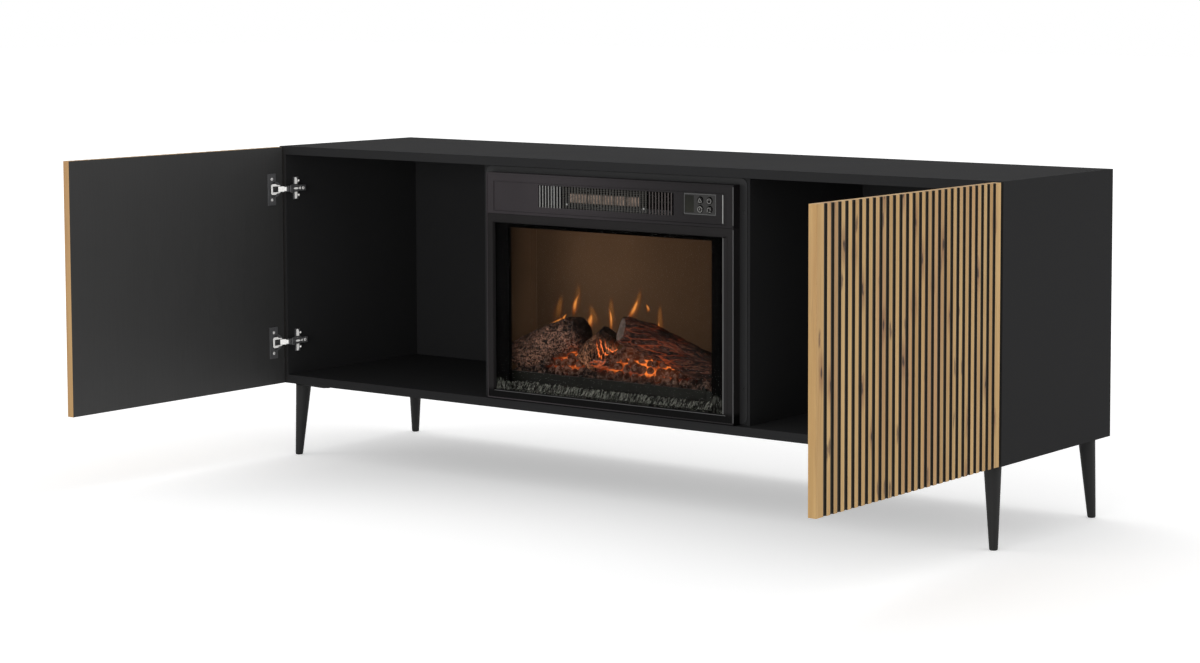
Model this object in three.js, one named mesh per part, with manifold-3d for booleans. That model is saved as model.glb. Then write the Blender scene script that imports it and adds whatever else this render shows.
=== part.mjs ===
// Fireplace tv stand: a black cabinet on splayed legs, two grooved oak doors and
// an electric fireplace insert.
// Millimetres, +Z up, +X to the right, -Y to the front. The doors stand open at a right angle.
import * as THREE from 'three';
import { mergeVertices } from 'three/addons/utils/BufferGeometryUtils.js';
import Module from 'manifold-3d';

const wasm = await Module();
wasm.setup();

// Cabinet
const cabinetWidth = 1800;
const cabinetDepth = 414;
const cabinetHeight = 514;
const boardThickness = 18;
const backThickness = 3;
const fitGap = 0.3;
const overrun = 2;

// Legs
const legHeight = 158;
const legPlateThickness = 5;
const legTopRadius = 16.5;
const legFootRadius = 8;
const legInsetX = 35;
const legInsetY = 29;
const legSplay = 8;
const legPlateReach = 112;
const legPlateSpan = 110;
const legPlateEdgeInset = 10;
const legSides = 24;

// Doors
const doorThickness = 16;
const doorReveal = 1.5;
const doorClosedGap = 2;
const doorOpenGap = 9;
const doorEndInset = 1;
const doorFrameGap = 4;
const grooveCount = 27;
const grooveWidth = 9;
const grooveDepth = 3;
const freeEdgeSlat = 21;
const hingeEdgeSlat = 18;

// Hinges
const hingeFromDoorEnd = 90;
const cupRadius = 17.2;
const cupCentreInset = 22.5;
const cupDepth = 10.7;
const cupWall = 0.8;
const cupFloor = 0.7;
const cupCheekStart = 4;
const cupCheekWidth = 10;
const cupCheekDepth = 4;
const cupWingThickness = 1.2;
const cupWingHeight = 68;
const cupWingStart = 20.5;
const cupWingWidth = 23;
const linkLength = 15;
const linkRadius = 1.5;
const linkHeight = 11;
const linkKnuckleRadius = 2;
const linkKnuckleHeight = 8;
const linkRestAngle = 60;
const linkPinRadius = 1;
const armNoseX = 26;
const armNoseY = 8.5;
const armEarReach = 2.3;
const armWidth = 8;
const armHeight = 12;
const armBackY = 48;
const armShoulderY = 5;
const mountPlateThickness = 2;
const mountWingHeight = 49;
const mountWingStart = 21;
const mountWingWidth = 14;
const mountRailStart = 14;
const mountRailLength = 32;

// Fireplace insert, front
const frameWidth = 620;
const frameFloorGap = 2;
const frameTopGap = 14;
const frameProud = 4;
const flangeFaceDepth = 16.5;
const flangeThickness = 1.5;
const flangeOverhang = 17.5;
const flangeTopOverhang = 12;
const flangeCornerRadius = 14;
const flangeLip = 5;
const fasciaHeight = 83;
const seamGap = 0.6;
const fasciaWall = 3;
const fasciaInsetDepth = 1.5;
const fasciaInsetMargin = 19;
const fasciaInsetTop = 17;
const fasciaInsetBottom = 5;
const windowMargin = 17;
const windowTopBar = 17;
const windowBottomBar = 17;
const rebateWall = 6;
const frameFace = 8;
const glassThickness = 3;
const glassGap = 0.3;
const maskMarginLeft = 31;
const maskMarginRight = 43;
const maskMarginTop = 10;
const maskMarginBottom = 3;
const grilleWidth = 340;
const grilleHeight = 44;
const grilleDrop = 21;
const grilleToPanelGap = 23;
const grilleThickness = 2;
const grilleLip = 4;
const finBandWidth = 60;
const finCount = 8;
const finSlotShare = 0.55;
const meshColumns = 18;
const meshRows = 4;
const meshHoleShare = 0.62;
const panelWidth = 79;
const panelHeight = 43;
const panelDrop = 19;
const panelCentreX = 228.5;
const panelThickness = 3;
const panelRaise = 2;
const panelLip = 3.5;
const displayWidth = 21;
const displayHeight = 33;
const displayMargin = 4;
const displayThickness = 2;
const buttonRadius = 6.6;
const buttonHoleGap = 0.4;
const buttonPitchX = 22;
const buttonPitchZ = 17;
const buttonFromPanelRight = 16;
const buttonProud = 1.5;
const buttonTravel = 1;

// Fireplace insert, inside
const bayHalfWidth = 315;
const housingDepth = 172;
const housingWall = 1.5;
const screenSetback = 110;
const screenThickness = 3;
const screenMargin = 16;
const ashDepth = 14;
const ashFrontHeight = 14;
const ashBackHeight = 30;
const ashMargin = 6;
const grateSetback = 17;
const grateThickness = 4;
const grateBarHeight = 9;
const grateRise = 36;
const grateHalfLength = 286;
const gratePostWidth = 8;
const gratePostX = [-272, 40, 181];
const grateTabRise = 9;
const bedHalfLength = 294;
const bedDepth = 62;
const bedEdgeRise = 46;
const bedCrownRise = 62;
const bedLumpRise = 5;
const bedLumps = 11;
const bedSteps = 44;
const logSides = 14;
const logSetback = 54;
const leftLogRadius = 34;
const rightLogRadius = 29;
const centreLogRadius = 22;
const leftLogX = [-291, -110];
const leftLogRise = [76, 140];
const rightLogX = [-12, 232];
const rightLogRise = [146, 88];
const centreLogX = [-96, -52];
const centreLogRise = [76, 136];
const centreLogLean = 10;
const heaterHalfWidth = 150;
const heaterDepth = 132;
const heaterFrontGap = 1;
const heaterWall = 1.5;
const elementHalfLength = 88;
const elementHeight = 24;
const elementDepth = 12;
const elementFins = 18;
const elementSetback = 8;
const elementRise = 38;
const rodRadius = 3;
const blowerRadius = 24;
const blowerHalfLength = 100;
const blowerSetback = 78;
const blowerBlades = 12;
const bladeThickness = 1.5;
const discThickness = 2;
const blowerMotorRadius = 18;
const rotorSetback = 140;
const rotorRise = 42;
const rotorPaddleReach = 14;
const rotorPaddles = 9;
const rotorHalfLength = 245;
const rotorMotorRadius = 19;
const rotorMotorLength = 40;
const glandRadius = 10;
const glandLength = 14;
const glandOffsetX = 262;
const glandRise = 32;
const backCutHalfWidth = 285;
const backCutBase = 60;
const backCutTopMargin = 64;

// Levels and planes worked out from the sizes above; the cabinet's front is Y 0 and its underside Z 0
const halfWidth = cabinetWidth / 2;
const innerFloor = boardThickness;
const innerCeiling = cabinetHeight - boardThickness;
const carcassBack = cabinetDepth - backThickness;
const frameHalf = frameWidth / 2;
const frameBase = innerFloor + frameFloorGap;
const frameTop = innerCeiling - frameTopGap;
const flangeBack = flangeFaceDepth + flangeThickness;
const doorLength = halfWidth - doorEndInset - frameHalf - doorFrameGap;
const doorReach = doorOpenGap + doorLength;
const doorBase = doorReveal;
const doorTop = cabinetHeight - doorReveal;
const groovePitch = (doorLength - freeEdgeSlat - hingeEdgeSlat - grooveWidth) / (grooveCount - 1);
const hingeLevels = [doorTop - hingeFromDoorEnd, doorBase + hingeFromDoorEnd];
const housingFront = flangeBack;
const housingBack = housingFront + housingDepth;
const openingHalf = frameHalf - flangeLip;
const openingBase = frameBase + flangeLip;
const openingTop = frameTop - flangeLip;
const housingHalf = openingHalf + housingWall + fitGap;
const housingBase = openingBase - housingWall - fitGap;
const housingTop = openingTop + housingWall + fitGap;
const chamberHalf = housingHalf - housingWall;
const chamberFloor = housingBase + housingWall;
const chamberCeiling = housingTop - housingWall;
const grilleRight = panelCentreX - panelWidth / 2 - grilleToPanelGap;
const grilleMiddle = grilleRight - grilleWidth / 2;
const deckLevel = frameTop - fasciaHeight - fitGap;

// Finishes
const finishes = {
  blackBoard: new THREE.MeshStandardMaterial({ color: 0x2b2b2c, roughness: 0.62, metalness: 0 }),
  oak: new THREE.MeshStandardMaterial({ color: 0xab9566, roughness: 0.6, metalness: 0 }),
  blackMetal: new THREE.MeshStandardMaterial({ color: 0x1f1f20, roughness: 0.5, metalness: 0.4 }),
  nickel: new THREE.MeshStandardMaterial({ color: 0xb9b6b0, roughness: 0.25, metalness: 1 }),
  steel: new THREE.MeshStandardMaterial({ color: 0x55565a, roughness: 0.4, metalness: 0.9 }),
  blackPlastic: new THREE.MeshStandardMaterial({ color: 0x2c2a29, roughness: 0.5, metalness: 0 }),
  glass: new THREE.MeshStandardMaterial({ color: 0x15120f, roughness: 0.05, metalness: 0 }),
  screen: new THREE.MeshStandardMaterial({ color: 0x3a2c1c, roughness: 0.7, metalness: 0 }),
  charredLog: new THREE.MeshStandardMaterial({ color: 0x3d2a22, roughness: 0.9, metalness: 0 }),
  ember: new THREE.MeshStandardMaterial({ color: 0x6b2a12, roughness: 0.9, metalness: 0 }),
  ash: new THREE.MeshStandardMaterial({ color: 0x4a4d45, roughness: 0.95, metalness: 0 }),
};

// The cabinet group puts the feet on Z 0 and the middle of the whole depth, doors included, on Y 0
const stand = new THREE.Group();
const cabinet = new THREE.Group();
cabinet.position.set(0, (doorReach - cabinetDepth) / 2, legHeight);
stand.add(cabinet);

// Merges the vertices that faces share, drops empty triangles and turns every face outwards
function closed(geometry) {
  const bare = geometry.index ? geometry.toNonIndexed() : geometry;
  bare.deleteAttribute('normal');
  bare.deleteAttribute('uv');
  const merged = mergeVertices(bare);
  const place = merged.attributes.position;
  const index = merged.index.array;
  const corners = [0, 1, 2].map(() => new THREE.Vector3());
  const kept = [];
  let volume = 0;
  for (let i = 0; i < index.length; i += 3) {
    const [a, b, c] = [index[i], index[i + 1], index[i + 2]];
    if (a === b || b === c || c === a) continue;
    kept.push(a, b, c);
    [a, b, c].forEach((vertex, corner) => corners[corner].fromBufferAttribute(place, vertex));
    volume += corners[0].dot(corners[1].cross(corners[2]));
  }
  if (volume < 0) kept.reverse();
  merged.setIndex(kept);
  return merged;
}

function solidOf(geometry) {
  const body = closed(geometry);
  const mesh = new wasm.Mesh({
    numProp: 3,
    vertProperties: new Float32Array(body.attributes.position.array),
    triVerts: new Uint32Array(body.index.array),
  });
  return new wasm.Manifold(mesh);
}

function geometryOf(solid) {
  const mesh = solid.getMesh();
  const geometry = new THREE.BufferGeometry();
  geometry.setAttribute('position', new THREE.BufferAttribute(new Float32Array(mesh.vertProperties), 3));
  geometry.setIndex(Array.from(mesh.triVerts));
  return geometry;
}

function join(parts) {
  return geometryOf(parts.map(solidOf).reduce((whole, part) => whole.add(part)));
}

function cut(base, tools) {
  return geometryOf(tools.map(solidOf).reduce((left, tool) => left.subtract(tool), solidOf(base)));
}

function piece(name, geometry, finish) {
  const mesh = new THREE.Mesh(closed(geometry), finishes[finish].clone());
  mesh.name = name;
  cabinet.add(mesh);
}

// A straight block between two corners
function block([x0, x1], [y0, y1], [z0, z1]) {
  const geometry = new THREE.BoxGeometry(Math.abs(x1 - x0), y1 - y0, z1 - z0);
  return geometry.translate((x0 + x1) / 2, (y0 + y1) / 2, (z0 + z1) / 2);
}

// An outline in X and Y that stands up along Z
function standing(shape, [z0, z1]) {
  return new THREE.ExtrudeGeometry(shape, { depth: z1 - z0, bevelEnabled: false }).translate(0, 0, z0);
}

// An outline in X and Z that runs back along Y
const toFront = new THREE.Matrix4().set(1, 0, 0, 0, 0, 0, -1, 0, 0, 1, 0, 0, 0, 0, 0, 1);
function facing(shape, [y0, y1], curveSegments = 6) {
  const geometry = new THREE.ExtrudeGeometry(shape, { depth: y1 - y0, bevelEnabled: false, curveSegments });
  return geometry.applyMatrix4(toFront).translate(0, y1, 0);
}

// An outline in Y and Z that runs across along X
const toSide = new THREE.Matrix4().set(0, 0, 1, 0, 1, 0, 0, 0, 0, 1, 0, 0, 0, 0, 0, 1);
function across(shape, [x0, x1]) {
  const geometry = new THREE.ExtrudeGeometry(shape, { depth: Math.abs(x1 - x0), bevelEnabled: false });
  return geometry.applyMatrix4(toSide).translate(Math.min(x0, x1), 0, 0);
}

function outline(points) {
  return new THREE.Shape(points.map(([a, b]) => new THREE.Vector2(a, b)));
}

function rectangle([a0, a1], [b0, b1]) {
  return outline([[a0, b0], [a1, b0], [a1, b1], [a0, b1]]);
}

function roundedRectangle([a0, a1], [b0, b1], radius) {
  const quarter = Math.PI / 2;
  const shape = new THREE.Shape();
  shape.absarc(a1 - radius, b0 + radius, radius, -quarter, 0, false);
  shape.absarc(a1 - radius, b1 - radius, radius, 0, quarter, false);
  shape.absarc(a0 + radius, b1 - radius, radius, quarter, 2 * quarter, false);
  shape.absarc(a0 + radius, b0 + radius, radius, 2 * quarter, 3 * quarter, false);
  return shape;
}

// Round bars along each direction; a bar starts as three.js makes it, along Y
function rodAlongZ(top, bottom, [z0, z1], [x, y], sides = 20) {
  const geometry = new THREE.CylinderGeometry(top, bottom, z1 - z0, sides);
  return geometry.rotateX(Math.PI / 2).translate(x, y, (z0 + z1) / 2);
}

function rodAlongY(radius, [y0, y1], [x, z], sides = 20) {
  return new THREE.CylinderGeometry(radius, radius, y1 - y0, sides).translate(x, (y0 + y1) / 2, z);
}

function rodAlongX(radius, [x0, x1], [y, z], sides = 20) {
  const geometry = new THREE.CylinderGeometry(radius, radius, Math.abs(x1 - x0), sides);
  return geometry.rotateZ(Math.PI / 2).translate((x0 + x1) / 2, y, z);
}

// Cabinet boards: the top and bottom run full size and the sides stand between them
function carcass() {
  const span = [-halfWidth, halfWidth];
  piece('top_panel', block(span, [0, cabinetDepth], [innerCeiling, cabinetHeight]), 'blackBoard');
  piece('bottom_panel', block(span, [0, cabinetDepth], [0, innerFloor]), 'blackBoard');
  const uprightZ = [innerFloor, innerCeiling];
  const dividerFace = bayHalfWidth;
  const dividerBack = bayHalfWidth + boardThickness;
  for (const [label, side] of [['left', -1], ['right', 1]]) {
    const panelX = [side * halfWidth, side * (halfWidth - boardThickness)];
    piece(`${label}_side_panel`, block(panelX, [0, carcassBack], uprightZ), 'blackBoard');
    const dividerX = [side * dividerFace, side * dividerBack];
    piece(`${label}_divider`, block(dividerX, [flangeBack, carcassBack], uprightZ), 'blackBoard');
  }
  const back = rectangle(span, uprightZ);
  back.holes.push(rectangle(
    [-backCutHalfWidth, backCutHalfWidth],
    [backCutBase, cabinetHeight - backCutTopMargin],
  ));
  piece('back_panel', facing(back, [carcassBack, cabinetDepth]), 'blackBoard');
}

// Legs: tapered turnings that lean outwards under a flat plate
function legs() {
  for (const [depthLabel, depthSide] of [['front', -1], ['rear', 1]]) {
    for (const [label, side] of [['left', -1], ['right', 1]]) {
      const atX = (inset) => side * (halfWidth - inset);
      const atY = (inset) => (depthSide < 0 ? inset : cabinetDepth - inset);
      const height = legHeight - legPlateThickness;
      const leg = rodAlongZ(legTopRadius, legFootRadius, [-legHeight, -legPlateThickness], [0, 0], legSides);
      const leanX = -side * legSplay / height;
      const leanY = -depthSide * legSplay / height;
      leg.translate(0, 0, legPlateThickness);
      leg.applyMatrix4(new THREE.Matrix4().set(1, 0, leanX, 0, 0, 1, leanY, 0, 0, 0, 1, 0, 0, 0, 0, 1));
      leg.translate(atX(legInsetX), atY(legInsetY), -legPlateThickness);
      piece(`${depthLabel}_${label}_leg`, leg, 'blackMetal');
      const edge = legPlateEdgeInset;
      const plate = outline([
        [atX(2 * edge), atY(2 * edge)],
        [atX(legPlateReach), atY(edge)],
        [atX(legPlateReach + edge), atY(2 * edge)],
        [atX(legPlateSpan / 2 + edge), atY(legPlateSpan / 2 + edge)],
        [atX(6 * edge), atY(legPlateSpan)],
        [atX(3 * edge), atY(legPlateSpan)],
      ]);
      piece(`${depthLabel}_${label}_leg_plate`, standing(plate, [-legPlateThickness, 0]), 'blackMetal');
    }
  }
}

// A door in plan, open at a right angle: u runs inwards from the cabinet's outer side, y to the front
function door(label, side) {
  const at = (u, y) => [side * (halfWidth - u), y];
  const hingeEdge = -doorOpenGap;
  const freeEdge = hingeEdge - doorLength;
  const points = [at(doorThickness, hingeEdge), at(doorThickness, freeEdge), at(0, freeEdge)];
  for (let i = 0; i < grooveCount; i += 1) {
    const start = freeEdge + freeEdgeSlat + i * groovePitch;
    points.push(at(0, start), at(grooveDepth, start));
    points.push(at(grooveDepth, start + grooveWidth), at(0, start + grooveWidth));
  }
  points.push(at(0, hingeEdge));
  const board = standing(outline(points), [doorBase, doorTop]);
  const holeRadius = cupRadius + fitGap;
  const entryX = side * (halfWidth - doorThickness - overrun);
  const floorX = side * (halfWidth - doorThickness + cupDepth + fitGap);
  const holes = hingeLevels.map((level) => (
    rodAlongX(holeRadius, [entryX, floorX], [hingeEdge - cupCentreInset, level], 28)));
  piece(`${label}_door`, cut(board, holes), 'oak');
}

// A concealed hinge: cup and wings on the door, folding link, arm, and mounting plate on the side panel
function hinge(label, side, level, levelLabel) {
  const at = (u) => side * (halfWidth - u);
  const cupY = -doorOpenGap - cupCentreInset;
  const faceU = doorThickness;
  const wingStartY = -doorOpenGap - cupWingStart;
  const wing = rectangle(
    [wingStartY - cupWingWidth, wingStartY],
    [level - cupWingHeight / 2, level + cupWingHeight / 2],
  );
  const bowl = rodAlongX(cupRadius, [at(faceU + cupWingThickness), at(faceU - cupDepth)], [cupY, level], 28);
  const bore = rodAlongX(
    cupRadius - cupWall,
    [at(faceU + cupWingThickness + overrun), at(faceU - cupDepth + cupFloor)],
    [cupY, level],
    28,
  );
  const rimY = cupY + cupRadius - cupCheekStart;
  const cheeks = [-1, 1].map((end) => {
    const edges = [level + end * (armHeight / 2 + fitGap), level + end * cupRadius];
    return block(
      [at(faceU + cupWingThickness), at(faceU - cupCheekDepth)],
      [rimY - cupCheekWidth, rimY],
      edges.sort((a, b) => a - b),
    );
  });
  const hollow = cut(bore, cheeks);
  const wings = across(wing, [at(faceU + cupWingThickness), at(faceU)]);
  piece(`${label}_${levelLabel}_hinge_cup`, cut(join([wings, bowl]), [hollow]), 'steel');

  const angle = linkRestAngle * Math.PI / 180;
  const nose = [at(armNoseX), -armNoseY];
  const tip = [nose[0] + side * linkLength * Math.cos(angle), nose[1] - linkLength * Math.sin(angle)];
  const along = [side * Math.cos(angle), -Math.sin(angle)];
  const normal = [-along[1] * linkRadius, along[0] * linkRadius];
  const wideStart = 2 * linkKnuckleRadius;
  const bar = (from, to) => {
    const start = [nose[0] + along[0] * from, nose[1] + along[1] * from];
    const end = [nose[0] + along[0] * to, nose[1] + along[1] * to];
    return outline([
      [start[0] + normal[0], start[1] + normal[1]],
      [start[0] - normal[0], start[1] - normal[1]],
      [end[0] - normal[0], end[1] - normal[1]],
      [end[0] + normal[0], end[1] + normal[1]],
    ]);
  };
  const knuckleZ = [level - linkKnuckleHeight / 2, level + linkKnuckleHeight / 2];
  const linkZ = [level - linkHeight / 2, level + linkHeight / 2];
  const armZ = [level - armHeight / 2, level + armHeight / 2];
  piece(`${label}_${levelLabel}_hinge_link`, join([
    rodAlongZ(linkKnuckleRadius, linkKnuckleRadius, knuckleZ, nose, 16),
    standing(bar(0, wideStart + overrun / 2), knuckleZ),
    standing(bar(wideStart, linkLength), linkZ),
    rodAlongZ(linkRadius, linkRadius, linkZ, tip, 12),
    rodAlongZ(linkPinRadius, linkPinRadius, armZ, nose, 12),
  ]), 'nickel');

  const armX = [at(armNoseX + armWidth / 2), at(armNoseX - armWidth / 2)];
  const slotZ = [knuckleZ[0] - fitGap, knuckleZ[1] + fitGap];
  const earX = [at(armNoseX + armEarReach), at(armNoseX - armEarReach)];
  const earFront = -armNoseY - armEarReach;
  const arm = join([
    block(armX, [-armShoulderY, armBackY], armZ),
    block(earX, [earFront, -armShoulderY + overrun], armZ),
  ]);
  const slotX = [at(armNoseX + armWidth), at(armNoseX - armWidth)];
  const slot = block(slotX, [earFront - overrun, -armShoulderY], slotZ);
  const pinHole = rodAlongZ(
    linkPinRadius + fitGap,
    linkPinRadius + fitGap,
    [armZ[0] - overrun, armZ[1] + overrun],
    nose,
    12,
  );
  piece(`${label}_${levelLabel}_hinge_arm`, cut(arm, [slot, pinHole]), 'nickel');

  const wallU = boardThickness;
  const plateU = wallU + mountPlateThickness;
  const railU = armNoseX - armWidth / 2;
  const mountWing = rectangle(
    [mountWingStart, mountWingStart + mountWingWidth],
    [level - mountWingHeight / 2, level + mountWingHeight / 2],
  );
  piece(`${label}_${levelLabel}_hinge_mount`, join([
    across(mountWing, [at(plateU), at(wallU)]),
    block([at(railU), at(wallU)], [mountRailStart, mountRailStart + mountRailLength], armZ),
  ]), 'nickel');
}

// Flange plate round the insert; it covers the dividers' front edges and carries the housing
function flange() {
  const half = frameHalf + flangeOverhang;
  const plateZ = [frameBase, frameTop + flangeTopOverhang];
  const plate = roundedRectangle([-half, half], plateZ, flangeCornerRadius);
  plate.holes.push(rectangle([-openingHalf, openingHalf], [openingBase, openingTop]));
  piece('insert_flange', facing(plate, [flangeFaceDepth, flangeBack]), 'blackMetal');
}

function housing() {
  const shell = block([-housingHalf, housingHalf], [housingFront, housingBack], [housingBase, housingTop]);
  const inside = [-chamberHalf, chamberHalf];
  const depth = [housingFront - overrun, housingBack - housingWall];
  const lower = block(inside, depth, [chamberFloor, deckLevel]);
  const upper = block(inside, depth, [deckLevel + housingWall, chamberCeiling]);
  piece('insert_housing', cut(shell, [lower, upper]), 'steel');
  const glandY = [housingBack, housingBack + glandLength];
  const gland = rodAlongY(glandRadius, glandY, [glandOffsetX, housingBase + glandRise]);
  piece('cord_gland', gland, 'blackPlastic');
}

// Upper cover with its shallow inset, the grille opening and the control panel opening
function fascia() {
  const base = frameTop - fasciaHeight;
  const front = -frameProud;
  const wallFront = front + fasciaInsetDepth;
  const wallBack = wallFront + fasciaWall;
  const body = block([-frameHalf, frameHalf], [front, flangeFaceDepth], [base, frameTop]);
  const inset = block(
    [-frameHalf + fasciaInsetMargin, frameHalf - fasciaInsetMargin],
    [front - overrun, wallFront],
    [base + fasciaInsetBottom, frameTop - fasciaInsetTop],
  );
  const pocket = block(
    [-frameHalf + fasciaWall, frameHalf - fasciaWall],
    [wallBack, flangeFaceDepth + overrun],
    [base + fasciaWall, frameTop - fasciaWall],
  );
  const through = [front - overrun, wallBack + overrun];
  const grilleX = [grilleRight - grilleWidth, grilleRight];
  const grilleZ = [frameTop - grilleDrop - grilleHeight, frameTop - grilleDrop];
  const panelX = [panelCentreX - panelWidth / 2, panelCentreX + panelWidth / 2];
  const panelZ = [frameTop - panelDrop - panelHeight, frameTop - panelDrop];
  const cover = cut(body, [inset, pocket, block(grilleX, through, grilleZ), block(panelX, through, panelZ)]);
  piece('fascia_cover', cover, 'blackPlastic');
  grille(grilleX, grilleZ, wallBack);
  controls(panelX, panelZ, wallFront, wallBack);
}

// Grille: slots between upright fins at both ends and a mesh of square holes in the middle
function grille([x0, x1], [z0, z1], seat) {
  const depth = [seat, seat + grilleThickness];
  const through = [seat - overrun, seat + grilleThickness + overrun];
  const plate = block([x0 - grilleLip, x1 + grilleLip], depth, [z0 - grilleLip, z1 + grilleLip]);
  const openings = [];
  const slotPitch = finBandWidth / finCount;
  const slotHalf = slotPitch * finSlotShare / 2;
  for (const bandStart of [x0, x1 - finBandWidth]) {
    for (let i = 0; i < finCount; i += 1) {
      const middle = bandStart + (i + 1 / 2) * slotPitch;
      openings.push(block([middle - slotHalf, middle + slotHalf], through, [z0, z1]));
    }
  }
  const pitchX = (x1 - x0 - 2 * finBandWidth) / meshColumns;
  const pitchZ = (z1 - z0) / meshRows;
  for (let i = 0; i < meshColumns; i += 1) {
    for (let j = 0; j < meshRows; j += 1) {
      const x = x0 + finBandWidth + (i + 1 / 2) * pitchX;
      const z = z0 + (j + 1 / 2) * pitchZ;
      const halfX = pitchX * meshHoleShare / 2;
      const halfZ = pitchZ * meshHoleShare / 2;
      openings.push(block([x - halfX, x + halfX], through, [z - halfZ, z + halfZ]));
    }
  }
  piece('heater_grille', cut(plate, openings), 'blackMetal');
}

// Control panel with its display window and four round buttons
function controls([x0, x1], [z0, z1], front, seat) {
  const back = seat + panelThickness;
  const base = block([x0 - panelLip, x1 + panelLip], [seat, back], [z0 - panelLip, z1 + panelLip]);
  const raised = block(
    [x0 + fitGap, x1 - fitGap],
    [seat - panelRaise, seat + panelThickness / 2],
    [z0 + fitGap, z1 - fitGap],
  );
  const middleZ = (z0 + z1) / 2;
  const displayX = [x0 + displayMargin, x0 + displayMargin + displayWidth];
  const displayZ = [middleZ - displayHeight / 2, middleZ + displayHeight / 2];
  const through = [front - overrun, back + overrun];
  const places = [];
  for (const row of [1, 0]) {
    for (const column of [0, 1]) {
      const x = x1 - buttonFromPanelRight + (column - 1) * buttonPitchX;
      const z = middleZ + (row - 1 / 2) * buttonPitchZ;
      places.push([x, z]);
    }
  }
  const holes = places.map((place) => rodAlongY(buttonRadius + buttonHoleGap, through, place));
  const recess = block(displayX, through, displayZ);
  piece('control_panel', cut(join([base, raised]), [recess, ...holes]), 'blackPlastic');
  const face = seat - panelRaise;
  piece('display_window', block(
    [displayX[0] + fitGap, displayX[1] - fitGap],
    [face + fitGap, face + fitGap + displayThickness],
    [displayZ[0] + fitGap, displayZ[1] - fitGap],
  ), 'glass');
  places.forEach((place, i) => {
    const cap = rodAlongY(buttonRadius, [face - buttonProud, back - buttonTravel], place);
    piece(`button_${i + 1}`, cap, 'blackPlastic');
  });
}

// Lower front frame round the window, its glass and the dark surround behind the glass
function windowFront() {
  const top = frameTop - fasciaHeight - seamGap;
  const front = -frameProud;
  const faceBack = front + frameFace;
  const windowX = [-frameHalf + windowMargin, frameHalf - windowMargin];
  const windowZ = [frameBase + windowBottomBar, top - windowTopBar];
  const rebateX = [-frameHalf + rebateWall, frameHalf - rebateWall];
  const rebateZ = [frameBase + rebateWall, top - rebateWall];
  const body = block([-frameHalf, frameHalf], [front, flangeFaceDepth], [frameBase, top]);
  const sight = block(windowX, [front - overrun, flangeFaceDepth + overrun], windowZ);
  const rebate = block(rebateX, [faceBack, flangeFaceDepth + overrun], rebateZ);
  piece('front_frame', cut(body, [sight, rebate]), 'blackPlastic');
  const seatedX = [rebateX[0] + fitGap, rebateX[1] - fitGap];
  const seatedZ = [rebateZ[0] + fitGap, rebateZ[1] - fitGap];
  const glassBack = faceBack + glassThickness;
  piece('window_glass', block(seatedX, [faceBack, glassBack], seatedZ), 'glass');
  const mask = rectangle(seatedX, seatedZ);
  mask.holes.push(rectangle(
    [windowX[0] + maskMarginLeft, windowX[1] - maskMarginRight],
    [windowZ[0] + maskMarginBottom, windowZ[1] - maskMarginTop],
  ));
  piece('window_surround', facing(mask, [glassBack + glassGap, flangeFaceDepth]), 'blackMetal');
}

// A log as a turned bar with uneven thickness, between two points, thickened by grow
function log(from, to, radii, grow) {
  const start = new THREE.Vector3(...from);
  const end = new THREE.Vector3(...to);
  const length = start.distanceTo(end);
  const profile = [new THREE.Vector2(0, -grow)];
  radii.forEach((radius, i) => {
    const share = i / (radii.length - 1);
    profile.push(new THREE.Vector2(radius + grow, length * share + (2 * share - 1) * grow));
  });
  profile.push(new THREE.Vector2(0, length + grow));
  const geometry = new THREE.LatheGeometry(profile, logSides);
  const upright = new THREE.Vector3(0, 1, 0);
  const turn = new THREE.Quaternion().setFromUnitVectors(upright, end.clone().sub(start).normalize());
  return geometry.applyQuaternion(turn).translate(start.x, start.y, start.z);
}

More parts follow.
